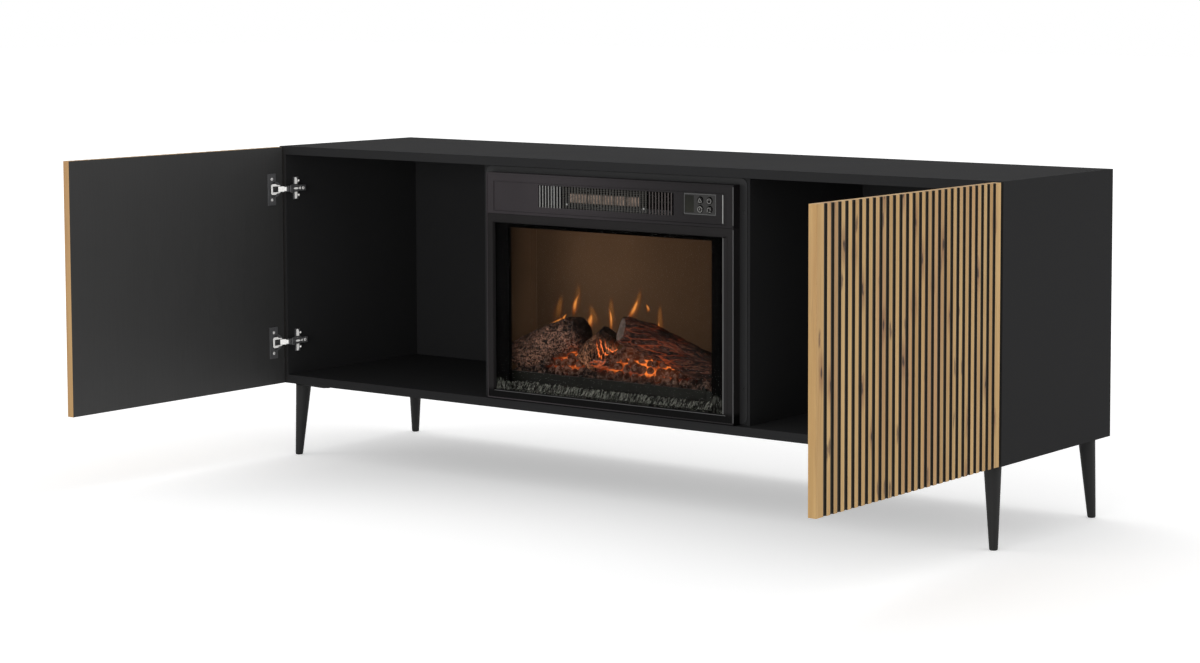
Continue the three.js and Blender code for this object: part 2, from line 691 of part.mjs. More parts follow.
// Fire bed: crushed ash in front, grate bar, ember bed and three logs pressed into it
function fireBed() {
  const floor = chamberFloor + fitGap;
  const front = housingFront + fitGap;
  const ashHalf = chamberHalf - ashMargin;
  piece('ash_strip', across(outline([
    [front, floor],
    [front + ashDepth, floor],
    [front + ashDepth, floor + ashBackHeight],
    [front + ashDepth * 2 / 3, floor + ashBackHeight],
    [front, floor + ashFrontHeight],
  ]), [-ashHalf, ashHalf]), 'ash');

  const grateFront = housingFront + grateSetback;
  const grateY = [grateFront, grateFront + grateThickness];
  const barZ = [floor + grateRise, floor + grateRise + grateBarHeight];
  const posts = gratePostX.map((x) => (
    block([x - gratePostWidth / 2, x + gratePostWidth / 2], grateY, [floor, barZ[1] + grateTabRise])));
  const bar = block([-grateHalfLength, grateHalfLength], grateY, barZ);
  piece('grate_bar', join([bar, ...posts]), 'blackMetal');

  const bedFront = grateY[1] + fitGap;
  const crest = [];
  for (let i = 0; i <= bedSteps; i += 1) {
    const share = i / bedSteps;
    const crown = Math.sqrt(Math.abs(Math.sin(Math.PI * share)));
    const lump = Math.abs(Math.sin(Math.PI * bedLumps * share));
    const rise = bedEdgeRise + bedCrownRise * crown + bedLumpRise * lump;
    crest.push([bedHalfLength * (1 - 2 * share), floor + rise]);
  }
  const bedShape = outline([[-bedHalfLength, floor], [bedHalfLength, floor], ...crest]);
  const bed = facing(bedShape, [bedFront, bedFront + bedDepth]);
  const middleY = housingFront + logSetback;
  const leftShares = [1, 1.06, 1.02, 0.95, 1.03, 0.96, 0.86];
  const rightShares = [0.82, 0.95, 1.04, 1, 1.08, 1.05, 0.95];
  const centreShares = [1, 1.05, 0.9, 0.85];
  const laid = [
    ['left_log', leftLogX, leftLogRise, leftLogRadius, leftShares, 0],
    ['right_log', rightLogX, rightLogRise, rightLogRadius, rightShares, 0],
    ['centre_log', centreLogX, centreLogRise, centreLogRadius, centreShares, centreLogLean],
  ];
  const shapes = (grow) => laid.map(([, xs, rises, radius, shares, lean]) => {
    const from = [xs[0], middleY - lean, chamberFloor + rises[0]];
    const to = [xs[1], middleY + lean, chamberFloor + rises[1]];
    return log(from, to, shares.map((share) => share * radius), grow);
  });
  shapes(0).forEach((shape, i) => piece(laid[i][0], shape, 'charredLog'));
  const seats = shapes(fitGap);
  piece('ember_bed', cut(bed, seats), 'ember');
}

// Flame picture: a screen and, behind it, a turning rotor with its motor
function flameWorks() {
  const floor = chamberFloor + fitGap;
  const screenY = housingFront + screenSetback;
  const screenX = [-chamberHalf + screenMargin, chamberHalf - screenMargin];
  const screenZ = [floor, deckLevel - fitGap];
  piece('flame_screen', block(screenX, [screenY, screenY + screenThickness], screenZ), 'screen');
  const axle = [housingFront + rotorSetback, floor + rotorRise];
  const paddles = [];
  for (let i = 0; i < rotorPaddles; i += 1) {
    const middle = rotorHalfLength * ((2 * i + 1) / rotorPaddles - 1);
    const half = rotorHalfLength * 2 / 3 / rotorPaddles;
    const flat = i % 2 === 0;
    const wide = [-rotorPaddleReach, rotorPaddleReach];
    const thin = [-bladeThickness / 2, bladeThickness / 2];
    const [spanY, spanZ] = flat ? [wide, thin] : [thin, wide];
    paddles.push(block([middle - half, middle + half], spanY, spanZ).translate(0, axle[0], axle[1]));
  }
  const motorX = [chamberHalf - fitGap - rotorMotorLength, chamberHalf - fitGap];
  const shaft = rodAlongX(rodRadius, [-chamberHalf + fitGap, motorX[0] - fitGap], axle, 12);
  piece('flame_rotor', join([shaft, ...paddles]), 'steel');
  piece('rotor_motor', rodAlongX(rotorMotorRadius, motorX, axle), 'steel');
}

// Fan heater above the deck: duct box, finned element, blower wheel and its motor
function heater() {
  const middle = grilleMiddle;
  const front = housingFront + heaterFrontGap;
  const base = deckLevel + housingWall;
  const top = chamberCeiling - fitGap;
  const boxX = [middle - heaterHalfWidth, middle + heaterHalfWidth];
  const innerX = [boxX[0] + heaterWall, boxX[1] - heaterWall];
  const shell = block(boxX, [front, front + heaterDepth], [base, top]);
  const hollow = block(
    innerX,
    [front - overrun, front + heaterDepth - heaterWall],
    [base + heaterWall, top - heaterWall],
  );
  piece('heater_box', cut(shell, [hollow]), 'steel');

  const elementZ = base + elementRise;
  const elementY = front + elementSetback + elementDepth / 2;
  const finPitch = 2 * elementHalfLength / elementFins;
  const fins = [];
  for (let i = 0; i <= elementFins; i += 1) {
    const x = middle - elementHalfLength + i * finPitch;
    fins.push(block(
      [x - bladeThickness / 2, x + bladeThickness / 2],
      [elementY - elementDepth / 2, elementY + elementDepth / 2],
      [elementZ - elementHeight / 2, elementZ + elementHeight / 2],
    ));
  }
  const rod = rodAlongX(rodRadius, [innerX[0] + fitGap, innerX[1] - fitGap], [elementY, elementZ], 12);
  piece('heater_element', join([rod, ...fins]), 'nickel');

  const axle = [front + blowerSetback, (base + top) / 2];
  const motorX = [middle + blowerHalfLength + discThickness, innerX[1] - fitGap];
  const wheelParts = [rodAlongX(rodRadius, [innerX[0] + fitGap, motorX[0] - fitGap], axle, 12)];
  for (const end of [-1, 1]) {
    const face = middle + end * blowerHalfLength;
    wheelParts.push(rodAlongX(blowerRadius, [face, face - end * discThickness], axle, 24));
  }
  for (let i = 0; i < blowerBlades; i += 1) {
    const blade = block(
      [-blowerHalfLength + discThickness / 2, blowerHalfLength - discThickness / 2],
      [blowerRadius * 2 / 3, blowerRadius - bladeThickness],
      [-bladeThickness / 2, bladeThickness / 2],
    );
    blade.rotateX(i * 2 * Math.PI / blowerBlades).translate(middle, axle[0], axle[1]);
    wheelParts.push(blade);
  }
  piece('blower_wheel', join(wheelParts), 'blackPlastic');
  piece('blower_motor', rodAlongX(blowerMotorRadius, motorX, axle), 'steel');
}

carcass();
legs();
for (const [label, side] of [['left', -1], ['right', 1]]) {
  door(label, side);
  hinge(label, side, hingeLevels[0], 'upper');
  hinge(label, side, hingeLevels[1], 'lower');
}
flange();
housing();
fascia();
windowFront();
fireBed();
flameWorks();
heater();

export default stand;
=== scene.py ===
"""Fireplace tv stand: black cabinet on splayed legs, slatted oak doors, electric fireplace insert."""
import math

import bmesh
import bpy
import numpy as np
from mathutils import Matrix

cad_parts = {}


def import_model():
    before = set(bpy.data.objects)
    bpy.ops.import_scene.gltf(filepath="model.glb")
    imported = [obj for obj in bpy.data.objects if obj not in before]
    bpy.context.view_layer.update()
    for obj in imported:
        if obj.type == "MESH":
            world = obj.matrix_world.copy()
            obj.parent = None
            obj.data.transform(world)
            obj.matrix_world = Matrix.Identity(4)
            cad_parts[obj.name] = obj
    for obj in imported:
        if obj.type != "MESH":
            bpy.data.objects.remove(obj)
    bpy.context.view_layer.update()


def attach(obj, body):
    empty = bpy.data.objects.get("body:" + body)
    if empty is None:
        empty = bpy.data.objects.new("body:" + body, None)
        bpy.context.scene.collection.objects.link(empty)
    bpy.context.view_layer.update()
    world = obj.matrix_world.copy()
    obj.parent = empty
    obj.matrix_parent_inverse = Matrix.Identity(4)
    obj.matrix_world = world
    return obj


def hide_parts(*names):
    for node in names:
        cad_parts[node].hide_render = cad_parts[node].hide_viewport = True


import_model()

# Where the cabinet's front plane and underside lie in the shared frame, in metres
FRONT_Y = 0.090
BODY_Z = 0.158

# The cabinet's own measures in millimetres: X from its middle, Y back from its front, Z up from its underside
HALF_WIDTH = 900.0
CABINET_DEPTH = 414.0
DOOR_BOARD = 16.0
DOOR_GAP = 9.0
DOOR_WIDTH = 585.0
FREE_STRIP = 21.0
GROOVES = 27
GROOVE_PITCH = 20.6538
GROOVE_DEPTH = 3.0
LEG_SIDE_INSET = 35.0
LEG_INSET = 29.0
LEG_TOP_RADIUS = 16.5
LEG_FOOT_RADIUS = 8.0
LEG_SPLAY = 8.0
BED_HALF_WIDTH = 294.0
FIN_LEVELS = (416.6, 460.4)
MESH_BAND = ((-112.5, 416.2), (102.0, 460.8))
MESH_PITCH = 7.4
MESH_ROWS = 13
MESH_WIRE = 0.66
ARC_POINTS = 20
SIDES = {"left": -1.0, "right": 1.0}
LEVELS = {"upper": 422.5, "lower": 91.5}

# Points closer than this, in metres, are one; edges shorter than the second are taken out
WELD = 1e-6
SLIVER = 1e-7

# Half the floor's width in metres
FLOOR_REACH = 30

# The photograph's width in pixels and the camera's sensor in millimetres
PHOTO_WIDTH = 1200.0
SENSOR_WIDTH = 36.0


def placed(points):
    """Cabinet millimetres to metres in the shared frame: scale by a thousandth, then add the offsets."""
    return np.asarray(points, float) * 0.001 + np.array([0.0, FRONT_Y, BODY_Z])


# Camera


def photographer(location, yaw, pitch, roll, focal_pixels, shift):
    """Camera at the photograph's place: turned by yaw about Z, tipped down by pitch,
    rolled about its view line."""
    data = bpy.data.cameras.new("photographer")
    data.sensor_width = SENSOR_WIDTH
    data.lens = focal_pixels * SENSOR_WIDTH / PHOTO_WIDTH
    data.shift_x, data.shift_y = shift
    data.clip_end = 50.0
    camera = bpy.data.objects.new("photographer", data)
    tip = Matrix.Rotation(math.pi / 2 - pitch, 4, "X")
    turn = Matrix.Rotation(yaw, 4, "Z") @ tip @ Matrix.Rotation(roll, 4, "Z")
    camera.matrix_world = Matrix.Translation(location) @ turn
    bpy.context.scene.collection.objects.link(camera)
    bpy.context.scene.camera = camera


photographer(
    location=(3.34035, -4.11771, 1.02465), yaw=0.6084, pitch=0.07931, roll=0.00154,
    focal_pixels=2728.7, shift=(-0.148, -0.11)
)


# Shader nodes


def node(tree, kind, inputs=None, **settings):
    """Adds one shader node; an input given as a socket is linked, any other is set."""
    made = tree.nodes.new("ShaderNode" + kind)
    for key, value in settings.items():
        setattr(made, key, value)
    for key, value in (inputs or {}).items():
        if isinstance(value, bpy.types.NodeSocket):
            tree.links.new(value, made.inputs[key])
        else:
            made.inputs[key].default_value = value
    return made


def sums(tree, operation, a, b=0.0, c=0.0, clamp=False):
    """A Math node's result for up to three values."""
    return node(tree, "Math", {0: a, 1: b, 2: c}, operation=operation, use_clamp=clamp).outputs[0]


def blend(tree, share, a, b):
    """Mixes colour b over colour a by share."""
    return node(tree, "Mix", {0: share, 6: a, 7: b}, data_type="RGBA", clamp_factor=True).outputs[2]


def steps(tree, value, low, high, out_low=0.0, out_high=1.0):
    """Maps value from low..high to out_low..out_high with a smooth, clamped step."""
    return node(
        tree,
        "MapRange",
        {0: value, 1: low, 2: high, 3: out_low, 4: out_high},
        interpolation_type="SMOOTHSTEP",
    ).outputs[0]


def product(tree, first, *others):
    """Values or masks multiplied together, so that each can only take away."""
    for other in others:
        first = sums(tree, "MULTIPLY", first, other)
    return first


def off(tree, value, middle):
    """How far a value lies from a middle: |value - middle|."""
    return sums(tree, "ABSOLUTE", sums(tree, "SUBTRACT", value, middle))


def scaled(tree, vector, factor):
    """A colour or vector times a factor that varies over the surface."""
    return node(tree, "VectorMath", {0: vector, "Scale": factor}, operation="SCALE").outputs[0]


def added(tree, a, b):
    """Two colours or vectors added up."""
    return node(tree, "VectorMath", {0: a, 1: b}, operation="ADD").outputs[0]


def parts(tree, vector):
    """A vector's X, Y and Z."""
    return node(tree, "SeparateXYZ", {0: vector}).outputs


def stretched(tree, vector, scale):
    """A position stretched along each axis, so that a pattern runs long where the scale is small."""
    return node(tree, "Mapping", {"Vector": vector, "Scale": scale}).outputs[0]


def noise(tree, vector, scale, detail=3.0, roughness=0.5, distortion=0.0):
    """Cloudy noise between 0 and 1 that varies over the vector."""
    return node(
        tree,
        "TexNoise",
        {"Vector": vector, "Scale": scale, "Detail": detail,
         "Roughness": roughness, "Distortion": distortion},
    ).outputs[0]


def drawn(tree, vector, along, detail=3.0, roughness=0.5, distortion=0.0):
    """Cloudy noise drawn out along the axes where its scale is small."""
    return noise(tree, stretched(tree, vector, along), 1.0, detail, roughness, distortion)


def cells(tree, vector, scale, output="Distance", flat=False):
    """Cell noise: the distance to the nearest cell's point or that cell's own colour, flat or in space."""
    dimensions = "2D" if flat else "3D"
    return node(
        tree, "TexVoronoi", {"Vector": vector, "Scale": scale}, voronoi_dimensions=dimensions
    ).outputs[output]


def group(name, inputs, outputs):
    """A shader node group with named sockets; returns its tree, what it is given and what it puts out."""
    tree = bpy.data.node_groups.new(name, "ShaderNodeTree")
    kinds = {"value": "NodeSocketFloat", "colour": "NodeSocketColor", "vector": "NodeSocketVector"}
    for label, kind, default in inputs:
        socket = tree.interface.new_socket(name=label, in_out="INPUT", socket_type=kinds[kind])
        if default is not None:
            socket.default_value = default
    for label, kind in outputs:
        tree.interface.new_socket(name=label, in_out="OUTPUT", socket_type=kinds[kind])
    return tree, tree.nodes.new("NodeGroupInput").outputs, tree.nodes.new("NodeGroupOutput").inputs


def use(tree, made_group, inputs):
    """Places a node group in a material's tree with values of its own; returns what it puts out."""
    placed_group = node(tree, "Group", node_tree=made_group)
    for key, value in inputs.items():
        if isinstance(value, bpy.types.NodeSocket):
            tree.links.new(value, placed_group.inputs[key])
        else:
            placed_group.inputs[key].default_value = value
    return placed_group.outputs


def grained_skin():
    """Fine moulded or laminated grain: two sizes of noise raise the surface and mottle its tone."""
    tree, given, out = group(
        "grained_skin",
        [("Position", "vector", None), ("Grain", "value", 900.0),
         ("Height", "value", 0.1), ("Mottle", "value", 0.1)],
        [("Tone", "value"), ("Normal", "vector")],
    )
    fine = noise(tree, given["Position"], given["Grain"], 2.0, 0.6)
    broad = noise(tree, given["Position"], 7.0, 4.0, 0.6)
    tone = sums(tree, "MULTIPLY_ADD", sums(tree, "SUBTRACT", broad, 0.5), given["Mottle"], 1.0)
    bump = node(tree, "Bump", {"Strength": given["Height"], "Distance": 0.0004, "Height": fine})
    tree.links.new(tone, out["Tone"])
    tree.links.new(bump.outputs[0], out["Normal"])
    return tree


OAK_DEEP = (0.515, 0.298, 0.104, 1)
OAK_PALE = (0.665, 0.432, 0.180, 1)
OAK_RED = (0.47, 0.245, 0.105, 1)
OAK_PORE = (0.26, 0.15, 0.065, 1)
KNOT_HALO = (0.25, 0.108, 0.043, 1)
KNOT_HEART = (0.060, 0.027, 0.014, 1)
CHECK_BROWN = (0.125, 0.060, 0.026, 1)


def oak_figure():
    """Knotty oak along Z: long streaks, finer pores, elongated knots and dark checks,
    toned strip by strip."""
    tree, given, out = group(
        "oak_figure",
        [("Position", "vector", None), ("Strip", "value", 0.0), ("Knots", "value", 1.0)],
        [("Colour", "colour"), ("Height", "value")],
    )
    position = given["Position"]
    wander = drawn(tree, position, (6.0, 6.0, 1.6), 3.0, 0.5)
    drift = node(tree, "CombineXYZ", {"Y": sums(tree, "MULTIPLY", wander, 0.05)}).outputs[0]
    shifted = added(tree, position, drift)
    streaks = drawn(tree, shifted, (30.0, 34.0, 1.3), 5.0, 0.62)
    pores = drawn(tree, shifted, (260.0, 260.0, 7.0), 3.0, 0.6)
    pale = blend(tree, steps(tree, streaks, 0.30, 0.72), OAK_DEEP, OAK_PALE)
    red = drawn(tree, position, (9.0, 16.0, 1.1), 2.0)
    warm = blend(tree, steps(tree, red, 0.48, 0.70, 0.0, 0.75), pale, OAK_RED)
    pored = blend(tree, steps(tree, pores, 0.52, 0.75, 0.0, 0.35), warm, OAK_PORE)
    split = parts(tree, shifted)
    ragged = drawn(tree, position, (160.0, 160.0, 30.0), 3.0, 0.6)
    offset = sums(tree, "MULTIPLY", sums(tree, "SUBTRACT", ragged, 0.5), 0.012)
    flat = node(tree, "CombineXYZ", {"X": sums(tree, "ADD", split[1], offset), "Y": split[2]}).outputs[0]
    apart = sums(tree, "MULTIPLY", sums(tree, "SIGN", split[0]), 3.7)
    sheet = added(tree, flat, node(tree, "CombineXYZ", {"X": apart}).outputs[0])
    knot_place = stretched(tree, sheet, (33.0, 8.0, 1.0))
    knot_distance = cells(tree, knot_place, 1.0, flat=True)
    chance = cells(tree, knot_place, 1.0, output="Color", flat=True)
    picked = sums(tree, "GREATER_THAN", node(tree, "SeparateColor", {0: chance}).outputs[0], 0.68)
    picked = product(tree, picked, given["Knots"])
    knot = product(tree, steps(tree, knot_distance, 0.11, 0.045, 0.0, 0.92), picked)
    halo = product(tree, steps(tree, knot_distance, 0.40, 0.10, 0.0, 0.62), picked)
    ringed = blend(tree, halo, pored, KNOT_HALO)
    check_place = stretched(tree, sheet, (62.0, 11.0, 1.0))
    check_chance = node(
        tree, "SeparateColor", {0: cells(tree, check_place, 1.0, output="Color", flat=True)}
    ).outputs[1]
    checks = product(
        tree,
        steps(tree, cells(tree, check_place, 1.0, flat=True), 0.24, 0.08, 0.0, 0.8),
        sums(tree, "GREATER_THAN", check_chance, 0.88),
        given["Knots"],
    )
    checked = blend(tree, checks, ringed, CHECK_BROWN)
    knotted = blend(tree, knot, checked, KNOT_HEART)
    strip_tone = node(tree, "TexWhiteNoise", {"W": given["Strip"]}, noise_dimensions="1D")
    tone = sums(tree, "MULTIPLY_ADD", strip_tone.outputs[0], 0.17, 0.84)
    tree.links.new(scaled(tree, knotted, tone), out["Colour"])
    height = sums(tree, "SUBTRACT", sums(tree, "SUBTRACT", 1.0, pores), sums(tree, "MULTIPLY", knot, 0.5))
    tree.links.new(height, out["Height"])
    return tree


def glowing_cracks():
    """Thin cracks between cells that glow where a broad patch of heat lies."""
    tree, given, out = group(
        "glowing_cracks",
        [("Position", "vector", None), ("Scale", "value", 60.0),
         ("Width", "value", 0.1), ("Heat", "value", 0.5)],
        [("Glow", "value")],
    )
    wobble = node(tree, "TexNoise",
                  {"Vector": given["Position"], "Scale": 70.0, "Detail": 3.0}).outputs["Color"]
    moved = added(tree, given["Position"], scaled(tree, wobble, 0.02))
    edge = node(
        tree, "TexVoronoi", {"Vector": moved, "Scale": given["Scale"]}, feature="DISTANCE_TO_EDGE"
    ).outputs["Distance"]
    crack = steps(tree, edge, given["Width"], 0.0)
    patch = noise(tree, given["Position"], 26.0, 2.0)
    hot = product(tree, steps(tree, patch, 0.36, 0.62), given["Heat"])
    tree.links.new(product(tree, crack, hot), out["Glow"])
    return tree


def paint(tree, shader, colour):
    """The surface's own colour, which varies over it."""
    tree.links.new(colour, shader.inputs["Base Color"])


def shine(tree, shader, colour, strength):
    """Light that the surface gives off by itself: a colour that varies over it, times one strength."""
    tree.links.new(colour, shader.inputs["Emission Color"])
    shader.inputs["Emission Strength"].default_value = strength


def emboss(tree, shader, height, strength, distance):
    """Bumps the surface by a height pattern, at most by the distance."""
    bump = node(tree, "Bump", {"Strength": strength, "Distance": distance, "Height": height})
    tree.links.new(bump.outputs[0], shader.inputs["Normal"])


def attribute_value(tree, name):
    """A number that the piece's own mesh keeps at each vertex."""
    return node(tree, "Attribute", attribute_name=name).outputs["Fac"]


GRAIN = grained_skin()
OAK = oak_figure()
CRACKS = glowing_cracks()


def finish_base(name, metallic, roughness, specular=0.5):
    """A material, its tree and Principled BSDF, and the coordinates that its patterns read."""
    material = bpy.data.materials.new(name)
    material.use_nodes = True
    tree = material.node_tree
    shader = tree.nodes["Principled BSDF"]
    shader.inputs["Metallic"].default_value = metallic
    shader.inputs["Roughness"].default_value = roughness
    shader.inputs["Specular IOR Level"].default_value = specular
    return material, tree, shader, node(tree, "TexCoord").outputs


def grained(name, colour, roughness, grain, height, mottle, metallic=0.0, specular=0.5):
    """A plain finish with fine grain: base colour times the grain's tone, roughness varied a little."""
    material, tree, shader, where = finish_base(name, metallic, roughness, specular)
    skin = use(tree, GRAIN, {"Position": where["Object"], "Grain": grain, "Height": height, "Mottle": mottle})
    paint(tree, shader, scaled(tree, colour, skin["Tone"]))
    tree.links.new(product(tree, skin["Tone"], roughness), shader.inputs["Roughness"])
    tree.links.new(skin["Normal"], shader.inputs["Normal"])
    return material


def brushed(name, colour, roughness, along, metallic=1.0):
    """Metal with fine lines: noise stretched along one axis tones and roughens it."""
    material, tree, shader, where = finish_base(name, metallic, roughness)
    lines = drawn(tree, where["Object"], along, 4.0, 0.6)
    tone = steps(tree, lines, 0.2, 0.8, 0.85, 1.08)
    paint(tree, shader, scaled(tree, colour, tone))
    tree.links.new(steps(tree, lines, 0.2, 0.8, roughness * 0.8, roughness * 1.25),
                   shader.inputs["Roughness"])
    emboss(tree, shader, lines, 0.05, 0.0003)
    return material


# Dark of the milled grooves, also used for the rims of painted shade beside them
GROOVE_AND_RIM_SHADE_BLACK = (0.026, 0.021, 0.014, 1)
LAMINATE = (0.0395, 0.0393, 0.0390)


def slatted_board():
    """Door board: oak on the slats, edges and ends, dark milled grooves with thin rims of painted shade
    beside them, dark laminate on the inner face.
    """
    material, tree, shader, where = finish_base("slatted_oak_board", 0.0, 0.5, 0.4)
    position = where["Object"]
    split = parts(tree, position)
    facing = parts(tree, where["Normal"])
    across = sums(tree, "ABSOLUTE", split[0])
    free_edge = FRONT_Y - (DOOR_GAP + DOOR_WIDTH) * 0.001
    hinge_edge = FRONT_Y - DOOR_GAP * 0.001
    first_groove = FRONT_Y - (DOOR_GAP + DOOR_WIDTH - FREE_STRIP) * 0.001
    place = sums(tree, "DIVIDE", sums(tree, "SUBTRACT", split[1], first_groove), GROOVE_PITCH * 0.001)
    strip = sums(tree, "FLOOR", place)
    share = sums(tree, "FRACT", place)
    # Painted shade: dark rims just past and just before each groove, on the outer face, that widen the
    # groove's dark
    rim_shade_past_groove = product(
        tree,
        steps(tree, share, 0.480, 0.452),
        sums(tree, "GREATER_THAN", strip, -0.5),
        sums(tree, "LESS_THAN", strip, GROOVES - 0.5),
    )
    before = product(
        tree,
        steps(tree, share, 0.956, 0.984),
        sums(tree, "GREATER_THAN", strip, -1.5),
        sums(tree, "LESS_THAN", strip, GROOVES - 1.5),
    )
    sideways = sums(tree, "GREATER_THAN", sums(tree, "ABSOLUTE", facing[0]), 0.5)
    oak = use(tree, OAK, {"Position": position, "Strip": sums(tree, "ADD", strip, 3.0), "Knots": sideways})
    outer = HALF_WIDTH * 0.001
    inner = sums(tree, "LESS_THAN", across, outer - DOOR_BOARD * 0.001 + 0.0004)
    inner_face = product(tree, inner, sideways)
    # Inside a groove: between the outer face and just past its floor, away from the board's ends and edges
    groove = product(
        tree,
        sums(tree, "LESS_THAN", across, outer - 0.0001),
        sums(tree, "GREATER_THAN", across, outer - (GROOVE_DEPTH + 0.2) * 0.001),
        sums(tree, "LESS_THAN", sums(tree, "ABSOLUTE", facing[2]), 0.5),
        sums(tree, "GREATER_THAN", split[1], free_edge + 0.001),
        sums(tree, "LESS_THAN", split[1], hinge_edge - 0.001),
    )
    face = sums(tree, "GREATER_THAN", across, outer - 0.0002)
    # The rims of painted shade join the grooves' dark on the outer face
    groove = sums(tree, "MAXIMUM", groove, product(tree, sums(tree, "MAXIMUM", rim_shade_past_groove, before), face))
    milled_and_rim_shaded = blend(tree, groove, oak["Colour"], GROOVE_AND_RIM_SHADE_BLACK)
    skin = use(tree, GRAIN, {"Position": position, "Grain": 1100.0, "Height": 0.1, "Mottle": 0.16})
    laminate = scaled(tree, LAMINATE, skin["Tone"])
    paint(tree, shader, blend(tree, inner_face, milled_and_rim_shaded, laminate))
    height = product(tree, oak["Height"], sums(tree, "SUBTRACT", 1.0, inner_face))
    emboss(tree, shader, height, 0.25, 0.0003)
    rough = steps(tree, oak["Height"], 0.2, 0.8, 0.62, 0.48)
    tree.links.new(rough, shader.inputs["Roughness"])
    return material


BARK_BLACK = (0.002, 0.0015, 0.001, 1)
# Pale colour of the bark's veins: a painted highlight
BARK_HIGHLIGHT = (0.25, 0.165, 0.13, 1)
CUT_DARK = (0.025, 0.020, 0.017, 1)
CUT_PALE = (0.105, 0.080, 0.068, 1)
CRACK_RED = (0.42, 0.060, 0.015, 1)
CRACK_ORANGE = (1.0, 0.21, 0.04, 1)


def charred_bark(name, heat, along, glow_centre, glow_reach, pale, brown, crack_along=(1.0, 1.0, 1.0),
                 light=BARK_HIGHLIGHT, splits=None):
    """Burnt bark: ridges along the log, pale veins on the ridges that are painted highlights, painted shade
    on faces turned up, a faint painted light in the bark's own colour, and cracks that glow near the fire's
    heart.
    splits, where given, adds glowing lengthwise splits: their middle and reach in X,
    and the height they end at."""
    material, tree, shader, where = finish_base(name, 0.0, 0.85, 0.2)
    position = where["Object"]
    fibre = drawn(tree, position, along, 6.0, 0.65, 0.4)
    plates = cells(tree, stretched(tree, position, tuple(0.55 * value for value in along)), 1.0)
    ridge = sums(tree, "ADD", sums(tree, "MULTIPLY", fibre, 0.7), sums(tree, "MULTIPLY", plates, 0.35))
    vein_field = drawn(tree, position, tuple(0.75 * value for value in along), 3.0, 0.6, 1.2)
    vein = steps(tree, off(tree, vein_field, 0.5), 0.055, 0.012)
    dark = blend(tree, steps(tree, ridge, 0.45, 0.60), BARK_BLACK, brown)
    # Painted highlights: pale veins over the dark bark
    bark_with_painted_light = blend(tree, product(tree, vein, pale), dark, light)
    cut = blend(tree, steps(tree, fibre, 0.3, 0.7), CUT_DARK, CUT_PALE)
    broad = drawn(tree, position, tuple(0.16 * value for value in along), 3.0)
    broad = steps(tree, broad, 0.36, 0.62, 0.35, 1.25)
    # Painted shade: faces turned up are darkened down to 0.30 of their colour
    facing_up_for_shade = parts(tree, where["Normal"])[2]
    bark_with_painted_light = scaled(tree, bark_with_painted_light, product(tree, broad, steps(tree, facing_up_for_shade, 0.95, 0.45, 0.30, 1.0)))
    worn = blend(tree, attribute_value(tree, "cut"), bark_with_painted_light, cut)
    clean = sums(tree, "SUBTRACT", 1.0, attribute_value(tree, "soot"))
    burnt = scaled(tree, worn, clean)
    paint(tree, shader, burnt)
    emboss(tree, shader, ridge, 0.9, 0.0025)
    centre = tuple(placed(glow_centre))
    distance = node(tree, "VectorMath", {0: position, 1: centre}, operation="DISTANCE").outputs["Value"]
    near = steps(tree, distance, glow_reach, glow_reach * 0.25)
    crevice = steps(tree, ridge, 0.52, 0.32)
    crack_place = stretched(tree, position, crack_along)
    cracks = use(tree, CRACKS, {"Position": crack_place, "Scale": 60.0, "Width": 0.10, "Heat": 1.0})
    fire = sums(tree, "MAXIMUM", sums(tree, "MULTIPLY", crevice, 0.18), cracks["Glow"])
    glow = product(tree, fire, near, heat)
    if splits is not None:
        middle, reach, top = splits
        split = parts(tree, position)
        slant = sums(tree, "MULTIPLY", sums(tree, "SUBTRACT", split[2], BODY_Z + 0.12), 0.16)
        weave = drawn(tree, position, (60.0, 60.0, 14.0), 2.0)
        wander = sums(tree, "ADD", slant, steps(tree, weave, 0.3, 0.7, -0.0018, 0.0018))
        phase = sums(tree, "FRACT", sums(tree, "MULTIPLY", sums(tree, "ADD", split[0], wander), 105.0))
        line = steps(tree, off(tree, phase, 0.5), 0.17, 0.05)
        inside = steps(tree, off(tree, split[0], middle), reach, 0.7 * reach)
        below = steps(tree, split[2], top, top - 0.012)
        glow = sums(tree, "MAXIMUM", glow, product(tree, line, inside, below, 0.9))
    glow = product(tree, glow, clean)
    colour = blend(tree, steps(tree, glow, 0.1, 0.9), CRACK_RED, CRACK_ORANGE)
    # Painted light: besides the glow, the bark gives off 0.30 of its own colour
    seen = added(tree, scaled(tree, colour, glow), scaled(tree, burnt, 0.30))
    shine(tree, shader, seen, 1.3)
    return material


COAL_BLACK = (0.005, 0.0035, 0.003, 1)
COAL_CRUST = (0.074, 0.044, 0.033, 1)
# Near black of the painted shade on the lower and back parts of each coal
COAL_SHADE = (0.003, 0.002, 0.002, 1)
COAL_RED = (0.45, 0.060, 0.012, 1)
COAL_ORANGE = (1.0, 0.24, 0.04, 1)
COAL_BLUSH = (0.055, 0.012, 0.003)


